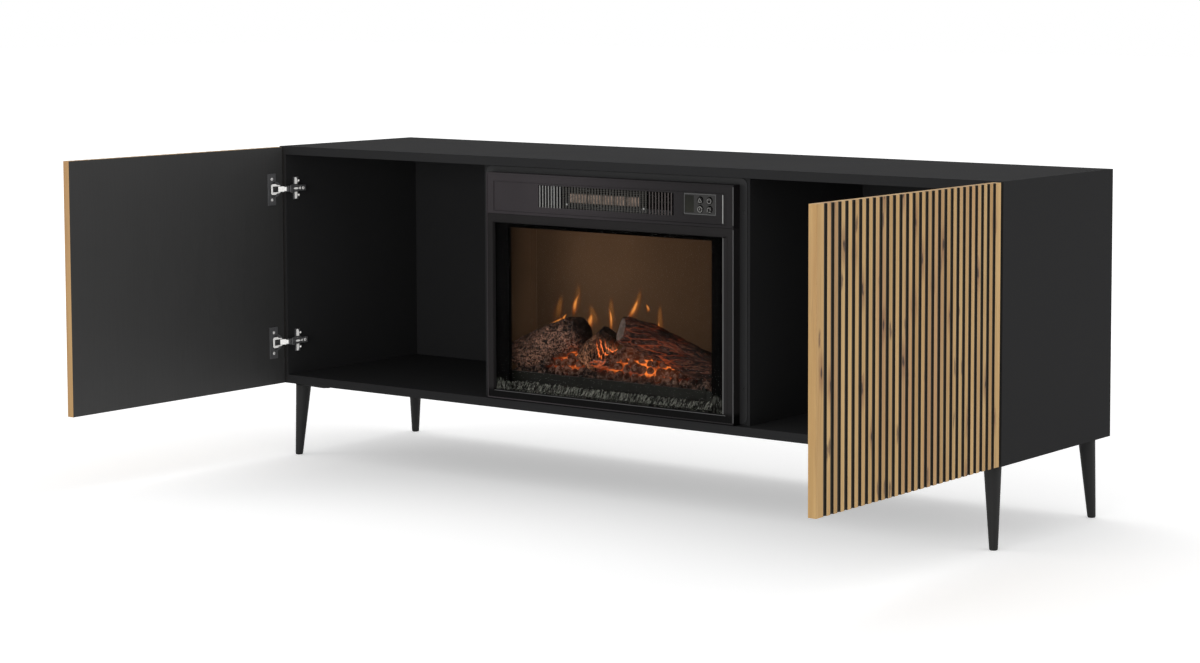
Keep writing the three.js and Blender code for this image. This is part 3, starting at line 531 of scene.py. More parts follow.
def coal_finish():
    """Coals: brown crust with painted light on top and painted shade below; orange light from between them in
    two warm places.
    """
    material, tree, shader, where = finish_base("glowing_coal", 0.0, 0.85, 0.15)
    position = where["Object"]
    split = parts(tree, position)
    shade_and_glow_depth = attribute_value(tree, "depth")
    speck = noise(tree, position, 110.0, 4.0, 0.6)
    crust = blend(tree, steps(tree, speck, 0.43, 0.64), COAL_BLACK, COAL_CRUST)
    # Painted shade: each coal goes near black towards its lower and back parts
    base = blend(tree, steps(tree, shade_and_glow_depth, 0.04, 0.40), crust, COAL_SHADE)
    # Painted shade: coals below 56 to 64 mm, behind the grate rail, are darkened to 0.12 of their colour
    front = steps(tree, split[2], BODY_Z + 0.056, BODY_Z + 0.064, 0.12, 1.0)
    base = scaled(tree, base, front)
    paint(tree, shader, base)
    emboss(tree, shader, speck, 0.5, 0.0015)
    right = steps(tree, off(tree, split[0], 0.045), 0.14, 0.05)
    left = steps(tree, off(tree, split[0], -0.145), 0.06, 0.015, 0.0, 0.8)
    place = sums(tree, "MAXIMUM", right, left)
    high = steps(tree, split[2], BODY_Z + 0.072, BODY_Z + 0.094)
    patch = steps(tree, noise(tree, position, 34.0, 2.0), 0.35, 0.56, 0.36, 0.92)
    rim = product(tree, steps(tree, shade_and_glow_depth, 0.10, 0.38), steps(tree, speck, 0.30, 0.52, 0.55, 1.0))
    warm = product(tree, place, high, patch)
    glow = product(tree, rim, warm)
    colour = blend(tree, steps(tree, glow, 0.25, 0.95), COAL_RED, COAL_ORANGE)
    lit = scaled(tree, colour, glow)
    # Painted light: the coals give off 0.35 of their own colour, plus a red blush in the warm places
    painted_fill_and_blush = added(tree, scaled(tree, base, 0.35), scaled(tree, COAL_BLUSH, warm))
    shine(tree, shader, added(tree, lit, painted_fill_and_blush), 1.1)
    return material


GRIT_BLACK = (0.004, 0.004, 0.0035, 1)
GRIT_GREY = (0.158, 0.162, 0.142, 1)


def grit_finish():
    """Crushed ash: grey-green specks of two sizes over black, with a rough surface."""
    material, tree, shader, where = finish_base("crushed_ash", 0.0, 0.9, 0.2)
    position = where["Object"]
    grains = cells(tree, position, 420.0)
    tint = node(tree, "SeparateColor", {0: cells(tree, position, 420.0, output="Color")}).outputs[0]
    clump = drawn(tree, position, (260.0, 60.0, 70.0), 3.0, 0.6)
    speckle = product(tree, steps(tree, tint, 0.1, 0.9, 0.3, 1.0), steps(tree, clump, 0.43, 0.62))
    base = blend(tree, speckle, GRIT_BLACK, GRIT_GREY)
    paint(tree, shader, base)
    # Painted light: the ash gives off 0.30 of its own colour
    shine(tree, shader, base, 0.30)
    emboss(tree, shader, grains, 0.9, 0.002)
    return material


UNLIT_BROWN = (0.004, 0.003, 0.002, 1)
SCREEN_LIGHT = (0.078, 0.0425, 0.0225)


def screen_finish():
    """Back screen lit from behind: warm brown, brightest left of the middle and
    fading down and to the sides."""
    material, tree, shader, where = finish_base("lit_screen", 0.0, 1.0, 0.0)
    split = parts(tree, where["Object"])
    cloud = noise(tree, where["Object"], 5.0, 3.0)
    left = steps(tree, split[0], -0.29, -0.14, 0.46, 1.0)
    right = steps(tree, split[0], 0.28, -0.06, 0.36, 0.96)
    high = steps(tree, split[2], BODY_Z + 0.05, BODY_Z + 0.33, 0.62, 1.0)
    level = product(tree, left, right, high, steps(tree, cloud, 0.3, 0.7, 0.86, 1.10))
    weave = drawn(tree, where["Object"], (40.0, 1.0, 700.0), 2.0)
    level = product(tree, level, steps(tree, weave, 0.3, 0.7, 0.95, 1.05))
    shade = scaled(tree, SCREEN_LIGHT, level)
    shader.inputs["Base Color"].default_value = UNLIT_BROWN
    shine(tree, shader, shade, 0.9)
    return material


def plastic_with_painted_light(name, colour, roughness, specular, mottle, axis, fade):
    """Dark moulded plastic: fine grain, and painted light and shade: a tone that fades along one axis
    between two places and two values."""
    material, tree, shader, where = finish_base(name, 0.0, roughness, specular)
    position = where["Object"]
    skin = use(tree, GRAIN, {"Position": position, "Grain": 650.0, "Height": 0.1, "Mottle": mottle})
    tone = product(tree, skin["Tone"], steps(tree, parts(tree, position)[axis], *fade))
    paint(tree, shader, scaled(tree, colour, tone))
    tree.links.new(skin["Normal"], shader.inputs["Normal"])
    return material


PLATING_GREY = (0.86, 0.85, 0.83, 1)
PLATING_WHITE = (0.97, 0.96, 0.94, 1)


def polished_finish():
    """Polished plating with a painted reflection of the window: pale, smooth, with a faint light of its own
    for the glare.
    """
    material, tree, shader, where = finish_base("plating_with_painted_glare", 0.1, 0.22)
    lines = drawn(tree, where["Object"], (500.0, 60.0, 500.0), 3.0, 0.6)
    shade = blend(tree, lines, PLATING_GREY, PLATING_WHITE)
    paint(tree, shader, shade)
    shine(tree, shader, shade, 0.28)
    return material


SOOT_BLACK = (0.002, 0.002, 0.002, 1)
DUST_GREY = (0.10, 0.104, 0.092, 1)


def mask_finish():
    """Window mask: soot black, with grey ash dust lying ragged along the lower ends of its upright sides."""
    material, tree, shader, where = finish_base("mask_black", 0.0, 0.85, 0.0)
    position = where["Object"]
    split = parts(tree, position)
    ragged = steps(tree, noise(tree, position, 45.0, 2.0), 0.3, 0.7, -0.014, 0.014)
    level = sums(tree, "ADD", split[2], ragged)
    low = steps(tree, level, BODY_Z + 0.066, BODY_Z + 0.054)
    streak = drawn(tree, position, (260.0, 60.0, 70.0), 3.0, 0.6)
    fade = steps(tree, split[0], -0.2, 0.2, 0.9, 0.45)
    dust = product(tree, low, steps(tree, streak, 0.42, 0.64, 0.05, 1.0), fade)
    shade = blend(tree, dust, SOOT_BLACK, DUST_GREY)
    paint(tree, shader, shade)
    # Painted light: the mask gives off 0.2 of its own colour
    shine(tree, shader, shade, 0.2)
    return material


LINING_LIGHT = (0.060, 0.0327, 0.0172)


def lining_finish():
    """Chamber walls: near black in front, catching the screen's brown light
    towards the back of the side walls."""
    material, tree, shader, where = finish_base("chamber_lining", 0.0, 1.0, 0.0)
    split = parts(tree, where["Object"])
    facing = parts(tree, where["Normal"])
    side = sums(tree, "LESS_THAN", sums(tree, "ABSOLUTE", facing[2]), 0.5)
    back = steps(tree, split[1], FRONT_Y + 0.020, FRONT_Y + 0.130, 0.10, 0.56)
    cloud = steps(tree, noise(tree, where["Object"], 9.0, 3.0), 0.3, 0.7, 0.8, 1.1)
    level = product(tree, back, cloud, side)
    shade = scaled(tree, LINING_LIGHT, level)
    shader.inputs["Base Color"].default_value = UNLIT_BROWN
    shine(tree, shader, shade, 0.9)
    return material


FLAME_RED = (0.55, 0.11, 0.012, 1)
FLAME_YELLOW = (1.0, 0.36, 0.07, 1)
FLAME_UNLIT = (0.02, 0.01, 0.005, 1)


def flame_finish(name, strength, opacity):
    """A flame sheet: bright orange in the middle of its lower part, fading out to its edges and tip."""
    material, tree, shader, where = finish_base(name, 0.0, 1.0, 0.0)
    split = parts(tree, where["UV"])
    from_middle = off(tree, split[0], 0.5)
    side = product(tree, steps(tree, from_middle, 0.5, 0.0), steps(tree, from_middle, 0.5, 0.1))
    foot = steps(tree, split[1], 0.0, 0.6, 0.0, 1.0)
    tip = steps(tree, split[1], 1.0, 0.72)
    flicker = drawn(tree, where["Object"], (90.0, 90.0, 30.0), 3.0)
    body = product(tree, side, foot, tip)
    alpha = sums(tree, "MULTIPLY", body, steps(tree, flicker, 0.3, 0.6, 0.4, 0.85), clamp=True)
    colour = blend(tree, steps(tree, body, 0.2, 0.9), FLAME_RED, FLAME_YELLOW)
    shader.inputs["Base Color"].default_value = FLAME_UNLIT
    shine(tree, shader, colour, strength)
    tree.links.new(sums(tree, "MULTIPLY", alpha, opacity), shader.inputs["Alpha"])
    return material


ELEMENT_DARK = (0.12, 0.09, 0.075, 1)
ELEMENT_PALE = (0.27, 0.21, 0.17, 1)


def heater_finish():
    """Finned heating element behind the mesh: pale metal that glows a dull pink-beige."""
    material, tree, shader, where = finish_base("warm_element", 1.0, 0.4)
    streak = drawn(tree, where["Object"], (400.0, 60.0, 120.0), 2.0)
    shade = blend(tree, steps(tree, streak, 0.3, 0.7), ELEMENT_DARK, ELEMENT_PALE)
    paint(tree, shader, shade)
    shine(tree, shader, shade, 0.6)
    return material


GLASS_TINT = (0.93, 0.92, 0.90, 1)
GLASS_BEND = 1.04


def window_pane():
    """Clear, faintly tinted glass that lets straight light through."""
    material, _, shader, _ = finish_base("window_pane", 0.0, 0.0)
    shader.inputs["Transmission Weight"].default_value = 1.0
    shader.inputs["IOR"].default_value = GLASS_BEND
    shader.inputs["Base Color"].default_value = GLASS_TINT
    return material


DISPLAY_LOW = (0.018, 0.018, 0.013, 1)
DISPLAY_HIGH = (0.011, 0.011, 0.0085, 1)
DISPLAY_CLOUD = (0.016, 0.018, 0.014, 1)


def display_finish():
    """Dark green display behind a glossy cover, a little lighter at its lower edge."""
    material, tree, shader, where = finish_base("dark_display", 0.0, 0.3, 0.12)
    split = parts(tree, where["Object"])
    fade = steps(tree, split[2], BODY_Z + 0.425, BODY_Z + 0.46)
    cloudy = noise(tree, where["Object"], 120.0, 2.0)
    base = blend(tree, fade, DISPLAY_LOW, DISPLAY_HIGH)
    shade = blend(tree, steps(tree, cloudy, 0.4, 0.7, 0.0, 0.4), base, DISPLAY_CLOUD)
    paint(tree, shader, shade)
    return material


BLACK_BOARD = grained("matt_black_laminate", (0.0255, 0.0255, 0.0262), 0.82, 1100.0, 0.10, 0.14,
                      specular=0.06)
POWDER_BLACK = grained("powder_black", (0.018, 0.018, 0.018), 0.55, 700.0, 0.16, 0.12, specular=0.2)
INSERT_BLACK = grained("insert_black", (0.0175, 0.0175, 0.018), 0.45, 500.0, 0.10, 0.2, specular=0.3)
# Fascia: painted light, lighter on the left and darker towards the right
FASCIA_BLACK = plastic_with_painted_light(
    "fascia_plastic", (0.0352, 0.0300, 0.0328), 0.5, 0.16, mottle=0.5, axis=0, fade=(-0.20, 0.26, 1.0, 0.30)
)
# Frame: painted shade, darker along the bottom below 34 to 46 mm up from the cabinet's underside
FRAME_BLACK = plastic_with_painted_light(
    "frame_plastic", (0.0192, 0.0178, 0.0180), 0.55, 0.065, mottle=0.4, axis=2,
    fade=(BODY_Z + 0.034, BODY_Z + 0.046, 0.10, 1.0)
)
PANEL_BLACK = grained("panel_plastic", (0.026, 0.025, 0.024), 0.4, 800.0, 0.06, 0.2, specular=0.25)
# Pale grey of a painted highlight along the window's right edge
EDGE_HIGHLIGHT = grained("edge_highlight", (0.19, 0.19, 0.185), 0.5, 900.0, 0.05, 0.1, metallic=0.1)
RAIL_BLACK = grained("rail_black", (0.0066, 0.0070, 0.0057), 0.6, 500.0, 0.1, 0.3, specular=0.15)
# Pale grey: a painted highlight at the inset's right end, and the colour of the mesh screws
BEAD_HIGHLIGHT_AND_SCREW_GREY = grained("bead_highlight_and_screw_grey", (0.34, 0.34, 0.33), 0.4, 900.0, 0.05, 0.1, metallic=0.2)
KEY_BLACK = grained("key_rubber", (0.017, 0.0165, 0.016), 0.85, 900.0, 0.04, 0.2, specular=0.04)
# Grey for thin lines: painted highlights along the window and frame edges, and the control panel's border
# line
LINE_AND_HIGHLIGHT_GREY = grained("line_and_highlight_grey", (0.10, 0.10, 0.10), 0.5, 900.0, 0.05, 0.1)
LINING = lining_finish()
MASK = mask_finish()
# The hinges' one nickel finish in painted copies: bright nickel and glare plating where it is lit, shaded
# nickel as painted shade
NICKEL = brushed("bright_nickel", (0.93, 0.92, 0.90), 0.28, (500.0, 60.0, 500.0), metallic=0.2)
GLARE_PLATING = polished_finish()
SHADED_NICKEL = brushed("shaded_nickel", (0.15, 0.15, 0.155), 0.38, (400.0, 400.0, 60.0), metallic=0.3)
ZINC_SHEET = brushed("zinc_sheet", (0.36, 0.37, 0.38), 0.42, (40.0, 40.0, 300.0))
FIN_BRIGHT = grained("bright_fins", (0.22, 0.217, 0.208), 0.45, 900.0, 0.05, 0.1, specular=0.3)
FIN_DIM = grained("dim_fins", (0.052, 0.042, 0.040), 0.5, 900.0, 0.05, 0.15, specular=0.3)
MESH_GREY = grained("mesh_grey", (0.080, 0.076, 0.068), 0.5, 900.0, 0.05, 0.4, specular=0.3)
ICON_GREY = grained("icon_grey", (0.23, 0.225, 0.215), 0.6, 900.0, 0.02, 0.1)
DOOR_BOARD_FINISH = slatted_board()
PANE = window_pane()
DISPLAY = display_finish()
SCREEN = screen_finish()
FLAME = flame_finish("flame_light", 0.95, 1.0)
FLAME_HAZE = flame_finish("flame_haze", 0.42, 0.34)
COAL = coal_finish()
GRIT = grit_finish()
ELEMENT = heater_finish()
BARK_LEFT = charred_bark(
    "bark_left", heat=0.35, along=(145.0, 165.0, 165.0), glow_centre=(-112.0, 50.0, 108.0), glow_reach=0.06,
    pale=0.85, brown=(0.0075, 0.0034, 0.0024, 1), light=(0.195, 0.100, 0.068, 1)
)
BARK_RIGHT = charred_bark(
    "bark_right", heat=0.35, along=(26.0, 160.0, 175.0), glow_centre=(60.0, 45.0, 112.0), glow_reach=0.13,
    pale=0.7, brown=(0.008, 0.0028, 0.0018, 1), crack_along=(0.22, 1.0, 1.2), light=(0.076, 0.028, 0.016, 1)
)
BARK_CENTRE = charred_bark(
    "bark_centre", heat=0.8, along=(150.0, 130.0, 36.0), glow_centre=(-34.0, 56.0, 124.0), glow_reach=0.05,
    pale=0.75, brown=(0.062, 0.024, 0.012, 1), crack_along=(1.6, 1.0, 0.16), light=(0.34, 0.15, 0.075, 1),
    splits=(-0.045, 0.024, BODY_Z + 0.158)
)
BARK_CHIP = charred_bark(
    "bark_chip", heat=0.6, along=(60.0, 200.0, 260.0), glow_centre=(-56.0, 42.0, 116.0), glow_reach=0.04,
    pale=0.4, brown=(0.030, 0.014, 0.010, 1), crack_along=(0.3, 1.0, 1.0)
)


# Surfaces


def as_object(name, points, faces, material, body, slot, replaces=(), uv=None, sharp=35.0, closed=True):
    """One finished piece: places the points, sets its faces outwards, smooths it and rides it on its body."""
    mesh = bpy.data.meshes.new(name)
    mesh.from_pydata(placed(points).tolist(), [], [list(map(int, face)) for face in faces])
    if uv is not None:
        layer = mesh.uv_layers.new(name="along")
        corner = np.empty(len(mesh.loops), dtype=np.int32)
        mesh.loops.foreach_get("vertex_index", corner)
        layer.data.foreach_set("uv", np.asarray(uv, np.float32)[corner].ravel())
    if closed:
        work = bmesh.new()
        work.from_mesh(mesh)
        bmesh.ops.remove_doubles(work, verts=work.verts, dist=WELD)
        bmesh.ops.dissolve_degenerate(work, edges=work.edges, dist=SLIVER)
        bmesh.ops.recalc_face_normals(work, faces=work.faces)
        work.to_mesh(mesh)
        work.free()
    mesh.shade_smooth()
    mesh.set_sharp_from_angle(angle=math.radians(sharp))
    mesh.materials.append(material)
    piece = bpy.data.objects.new(name, mesh)
    bpy.context.scene.collection.objects.link(piece)
    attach(piece, body)
    if replaces:
        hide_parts(*replaces)
    return piece


def quads(rows, columns, wrap_rows=False, wrap_columns=False, start=0):
    """Four-cornered faces over a grid of rows and columns, joined round where it wraps."""
    i = np.arange(rows if wrap_rows else rows - 1)
    j = np.arange(columns if wrap_columns else columns - 1)
    a, b = np.meshgrid(i, j, indexing="ij")
    a, b = a.ravel(), b.ravel()
    c, d = (a + 1) % rows, (b + 1) % columns
    return np.stack([a * columns + b, c * columns + b, c * columns + d, a * columns + d], axis=1) + start


def capped(rows, columns, start=0):
    """Faces of a tube of rows of points, joined round, with one flat face at each end."""
    last = start + (rows - 1) * columns
    faces = [list(face) for face in quads(rows, columns, wrap_columns=True, start=start)]
    return faces + [list(range(start, start + columns))[::-1], list(range(last, last + columns))]


def skirted(top, foot):
    """A heap's closed skin: the top grid, the same grid flat at the foot's height
    and a wall round the rim."""
    columns, rows = top.shape[:2]
    total = columns * rows
    flat = top.copy()
    flat[..., 2] = foot
    rim = np.concatenate([
        np.arange(columns) * rows, (columns - 1) * rows + np.arange(1, rows),
        np.arange(columns - 2, -1, -1) * rows + rows - 1, np.arange(rows - 2, 0, -1),
    ])
    following = np.roll(rim, -1)
    faces = [list(face) for face in quads(columns, rows)]
    faces += [list(face[::-1]) for face in quads(columns, rows, start=total)]
    faces += [list(face) for face in np.stack([rim, following, following + total, rim + total], axis=1)]
    return np.concatenate([top.reshape(-1, 3), flat.reshape(-1, 3)]), faces


def keep(piece, label, values):
    """Keeps one number at each vertex of a piece, for its material to read."""
    layer = piece.data.attributes.new(label, "FLOAT", "POINT")
    layer.data.foreach_set("value", np.ravel(values).astype(np.float32))


def rounded_loop(low, high, radius, steps_per_corner):
    """Points round a rectangle whose corners are quarter circles:
    corner centre plus radius times cos, sin."""
    (x0, z0), (x1, z1) = low, high
    centres = [
        (x1 - radius, z1 - radius), (x0 + radius, z1 - radius),
        (x0 + radius, z0 + radius), (x1 - radius, z0 + radius)
    ]
    corners = []
    for k, (cx, cz) in enumerate(centres):
        angle = np.linspace(0.0, math.pi / 2, steps_per_corner) + k * math.pi / 2
        corners.append(np.stack([cx + radius * np.cos(angle), cz + radius * np.sin(angle)], 1))
    return np.concatenate(corners)


def ring(name, section, material, body, slot, steps_per_corner=2):
    """A closed ring in the X-Z plane: each row of section is (low, high, radius, y),
    lofted round and closed."""
    loops = []
    for low, high, radius, y in section:
        loop = rounded_loop(low, high, max(radius, 0.02), steps_per_corner)
        loops.append(np.stack([loop[:, 0], np.full(len(loop), y), loop[:, 1]], axis=1))
    grid = np.stack(loops)
    faces = quads(len(section), grid.shape[1], wrap_rows=True, wrap_columns=True)
    as_object(name, grid.reshape(-1, 3), faces, material, body, slot)


def grown(low, high, by):
    """A rectangle's corners moved outwards by the same amount on each side."""
    return (low[0] - by, low[1] - by), (high[0] + by, high[1] + by)


def prism(name, outline, axis, low, high, material, body, slot, bevel=0.0, **extra):
    """An outline pushed straight from low to high along an axis;
    its edges are bevelled where a width is given."""
    flat = np.asarray(outline, float)
    order = {"x": (2, 0, 1), "y": (0, 2, 1), "z": (0, 1, 2)}[axis]
    rings = []
    for level in (low, high):
        trio = np.column_stack([flat, np.full(len(flat), level)])
        rings.append(trio[:, order])
    count = len(flat)
    faces = [list(face) for face in quads(2, count, wrap_columns=True)]
    faces += [list(range(count)), list(range(2 * count - 1, count - 1, -1))]
    piece = as_object(name, np.concatenate(rings), faces, material, body, slot, **extra)
    if bevel:
        cut = piece.modifiers.new("edges", "BEVEL")
        cut.width = bevel * 0.001
        cut.segments = 2
        cut.limit_method = "ANGLE"
        cut.angle_limit = math.radians(30)


def screw(name, centre, normal, radius, material, body, slot, dome=0.35):
    """A cross-recess screw head: its height falls with radius squared and sinks where |x| or |y| is small."""
    ring_share = np.linspace(0.0, 1.0, 9)
    angle = np.linspace(0, 2 * math.pi, 32, endpoint=False)
    r, a = np.meshgrid(ring_share, angle, indexing="ij")
    across, up = r * np.cos(a), r * np.sin(a)
    height = dome * radius * (1 - 0.8 * r**2)
    arm = np.minimum(np.abs(across), np.abs(up))
    height = height - 0.45 * radius * np.clip(1 - arm / 0.16, 0, 1) * (r < 0.62)
    normal = np.asarray(normal, float)
    side = np.array([0.0, 0.0, 1.0])
    other = np.cross(normal, side)
    points = (
        np.asarray(centre, float)
        + radius * across[..., None] * side
        + radius * up[..., None] * other
        + height[..., None] * normal
    )
    points = np.concatenate([points, points[-1:] - normal * (height[-1:, :, None] + 0.4)])
    faces = quads(10, 32, wrap_columns=True)
    as_object(name, points.reshape(-1, 3), faces, material, body, slot, sharp=60.0)


def ripple(points, wavelength, count, seed):
    """Smooth uneven value at each point: a mean of sines along random directions with random phases."""
    rng = np.random.default_rng(seed)
    direction = rng.normal(size=(count, 3))
    direction /= np.linalg.norm(direction, axis=1, keepdims=True)
    wave = 2 * math.pi / (np.asarray(wavelength, float) * rng.uniform(0.7, 1.4, count))
    phase = rng.uniform(0, 2 * math.pi, count)
    return np.sin((points @ direction.T) * wave + phase).mean(axis=-1) * math.sqrt(count)


# Finishes of the CAD pieces that stay as they are


def dress(names, material):
    """Gives the named CAD pieces one material, without touching their meshes."""
    for name in names:
        piece = bpy.data.objects[name]
        piece.data.materials.clear()
        piece.data.materials.append(material)


DRESSED = [
    (BLACK_BOARD, ["top_panel", "bottom_panel", "back_panel", "left_side_panel", "right_side_panel",
                   "left_divider", "right_divider"]),
    (DOOR_BOARD_FINISH, ["left_door", "right_door"]),
    (POWDER_BLACK, [f"{depth}_{side}_leg_plate" for depth in ("front", "rear") for side in SIDES]),
    (ZINC_SHEET, ["insert_housing", "heater_box", "blower_motor", "rotor_motor", "flame_rotor"]),
    (RAIL_BLACK, ["heater_element"]),
    (INSERT_BLACK, ["insert_flange", "grate_bar"]),
    (FASCIA_BLACK, ["cord_gland", "blower_wheel", "fascia_cover"]),
    (FRAME_BLACK, ["front_frame"]),
    (MASK, ["window_surround"]),
    (PANEL_BLACK, ["control_panel"]),
    (DISPLAY, ["display_window"]),
    (PANE, ["window_glass"]),
    (SCREEN, ["flame_screen"]),
    (SHADED_NICKEL, [f"{side}_{level}_hinge_{part}" for level in LEVELS for side in SIDES
                   for part in ("cup", "arm", "mount")]),
    (GLARE_PLATING, [f"{side}_{level}_hinge_link" for level in LEVELS for side in SIDES]),
]
for material, names in DRESSED:
    dress(names, material)


# Legs: tapered turnings with a rounded foot


def leg(label, side, depth_label, depth_side):
    """A sheared cone: the centre line leans out by the splay,
    and the radius falls evenly to a rounded foot."""
    near = LEG_INSET if depth_side < 0 else CABINET_DEPTH - LEG_INSET
    top = np.array([side * (HALF_WIDTH - LEG_SIDE_INSET), near, -5.0])
    foot = np.array([top[0] + side * LEG_SPLAY, near + depth_side * LEG_SPLAY, -BODY_Z * 1000.0])
    share = np.concatenate([np.linspace(0.0, 0.975, 12), [0.985, 0.993, 0.998, 1.0]])
    radius = LEG_TOP_RADIUS + (LEG_FOOT_RADIUS - LEG_TOP_RADIUS) * share
    # The last four rings round the foot off
    radius[-4:] -= np.array([0.15, 0.5, 1.1, 2.0])
    angle = np.linspace(0, 2 * math.pi, 48, endpoint=False)
    centre = top + share[:, None] * (foot - top)
    spoke = np.stack([np.cos(angle), np.sin(angle), np.zeros_like(angle)], axis=1)
    grid = centre[:, None, :] + radius[:, None, None] * spoke[None]
    name = f"{depth_label}_{label}_leg"
    as_object(f"{name}_turning", grid.reshape(-1, 3), capped(len(share), 48), POWDER_BLACK,
              "cabinet", "black_metal",
              replaces=(name,))


for label, side in SIDES.items():
    leg(label, side, "front", -1.0)
    leg(label, side, "rear", 1.0)


# Hinges


# Depths in from the cabinet's outer side, near and far, and how far the screws stand off the hinge's middle
SADDLE_FACE = DOOR_BOARD + 1.2
SADDLE_DEPTHS = (SADDLE_FACE, SADDLE_FACE + 0.6)
WING_GLINT_DEPTHS = (19.9, 20.7)
ARM_GLINT_DEPTHS = (29.8, 30.8)
NOSE_DEPTHS = (29.5, 31.2)
CUP_SCREW_RISE = 22.3
PLATE_SCREW_RISE = 15.5


def hinge(label, side, level_name, level):
    """Concealed hinge details: screws of cup, plate and arm, painted highlight strips on the plate's wings
    and along the arm, saddle and nose cover.
    """
    tag = f"{label}_{level_name}"

    def at(inward, y, z=0.0):
        """A point this far inwards from the cabinet's outer side, at the hinge's own height plus z."""
        return (side * (HALF_WIDTH - inward), y, level + z)

    def slab(part, outline, depths, material, body, bevel):
        """A flat piece that lies between two depths inwards from the cabinet's outer side."""
        low, high = sorted(side * (HALF_WIDTH - depth) for depth in depths)
        prism(f"{tag}_{part}", outline, "x", low, high, material, body, "hinge_nickel", bevel=bevel)

    def head(part, centre, radius, material, body, dome=0.35):
        """A screw head that faces inwards."""
        screw(f"{tag}_{part}", centre, (-side, 0.0, 0.0), radius, material, body, "hinge_nickel", dome=dome)

    door, cabinet = f"{label}_door", "cabinet"
    for end, mark in ((-1.0, "low"), (1.0, "high")):
        head(f"cup_screw_{mark}", at(SADDLE_FACE, -DOOR_GAP - 32.0, end * CUP_SCREW_RISE), 3.4, NICKEL, door)
        head(f"plate_screw_{mark}", at(20.0, 36.0, end * PLATE_SCREW_RISE), 2.4, GLARE_PLATING, cabinet)
        # Painted highlight: a pale strip on each wing of the plate, where the wing catches light
        wing_glint = [(24.0, level + end * 8.6), (31.0, level + end * 8.6), (32.0, level + end * PLATE_SCREW_RISE),
                (29.0, level + end * 23.2), (24.4, level + end * 23.2)]
        slab(f"wing_{mark}", wing_glint[::int(end)], WING_GLINT_DEPTHS, GLARE_PLATING, cabinet, 0.2)
    # Saddle: a waisted plate on the cup round the slot that the arm dips into, bright with painted reflection
    end, start = -DOOR_GAP - 34.5, -DOOR_GAP - 8.0
    upper = [(end, level), (end, level + 8.5), (end + 2.5, level + 11.5), (end + 13.0, level + 11.5),
             (end + 17.0, level + 9.2), (start, level + 8.0), (start, level + 6.35),
             (end + 15.0, level + 6.35),
             (end + 4.6, level + 6.35), (end + 4.6, level)]
    lower = [(y, 2 * level - z) for y, z in upper[::-1]][1:-1]
    slab("saddle", upper + lower, SADDLE_DEPTHS, GLARE_PLATING, door, 0.15)
    # Rear screw of the arm and its adjusting screw
    head("arm_screw", at(30.0, 40.0), 3.6, NICKEL, cabinet, dome=0.6)
    head("adjusting_screw", at(30.0, 31.0), 3.0, NICKEL, cabinet, dome=0.5)
    # Painted highlight: a pale lens along the arm, where it catches light
    glint_lens = [(11.0, level), (14.0, level - 1.7), (19.0, level - 2.2), (23.0, level - 1.6), (26.0, level),
           (23.0, level + 1.6), (19.0, level + 2.2), (14.0, level + 1.7)]
    slab("arm_glint", glint_lens, ARM_GLINT_DEPTHS, GLARE_PLATING, cabinet, 0.3)
    # Flared nose cover of the arm
    nose = [(0.8, level - 7.2), (7.0, level - 9.0), (9.0, level - 9.0),
            (9.0, level + 9.0), (7.0, level + 9.0), (0.8, level + 7.2)]
    slab("nose_cover", nose, NOSE_DEPTHS, SHADED_NICKEL, cabinet, 0.5)


for label, side in SIDES.items():
    for level_name, level in LEVELS.items():
        hinge(label, side, level_name, level)


# Insert: flange screws, chamfered beads, painted highlight strips, grille, controls


for end_x, mark in ((-1.0, "left"), (1.0, "right")):
    for z, row in ((90.0, "low"), (430.0, "high")):
        screw(f"flange_screw_{mark}_{row}", (end_x * 320.5, 16.5, z), (0.0, -1.0, 0.0), 3.2,
              INSERT_BLACK, "cabinet", "insert_metal", dome=0.4)

WINDOW = ((-293.0, 37.0), (293.0, 381.7))
ring("window_bead", [
    (*grown(*WINDOW, 0.6), 0.5, -4.5),
    (*grown(*WINDOW, 2.2), 1.0, -4.5),
    (*grown(*WINDOW, 2.2), 1.0, -3.6),
    (*grown(*WINDOW, -1.6), 0.2, 1.5),
    (*grown(*WINDOW, -1.6), 0.2, 0.9),
], FRAME_BLACK, "cabinet", "insert_metal")
# Strips along the window and frame edges; all but the bezel are pale painted highlights where the edges catch
# light
for name, section, axis, low, high, material, bevel in (
    ("window_right_bezel", [(284.6, -2.6), (293.4, -4.4), (293.4, -1.0), (284.6, -0.4)], "z", 38.6, 379.6,
     FRAME_BLACK, 0.2),
    ("window_lit_edge", [(283.0, -2.5), (284.9, -2.9), (284.9, -0.6), (283.0, -0.3)], "z", 39.0, 379.0,
     EDGE_HIGHLIGHT, 0.25),
    ("window_inner_highlight", [(287.6, 1.2), (288.6, 1.2), (288.6, 3.6), (287.6, 3.6)], "z", 40.0, 378.0,
     LINE_AND_HIGHLIGHT_GREY, 0.2),
    ("window_low_highlight", [(-4.7, 36.4), (-3.4, 36.4), (-3.4, 37.4), (-4.7, 37.4)], "x", -291.0, 291.0,
     LINE_AND_HIGHLIGHT_GREY, 0.2),
    ("fascia_lit_edge", [(308.4, -4.9), (310.0, -4.7), (310.0, -3.4), (308.4, -3.8)], "z", 404.0, 478.0,
     LINE_AND_HIGHLIGHT_GREY, 0.2),
    ("frame_lit_edge", [(308.6, -4.9), (310.0, -4.7), (310.0, -3.4), (308.6, -3.8)], "z", 24.0, 396.0,
     LINE_AND_HIGHLIGHT_GREY, 0.2),
):
    prism(name, section, axis, low, high, material, "cabinet", "insert_metal", bevel=bevel)
FRAME_FACE = ((-310.0, 20.0), (310.0, 482.0))
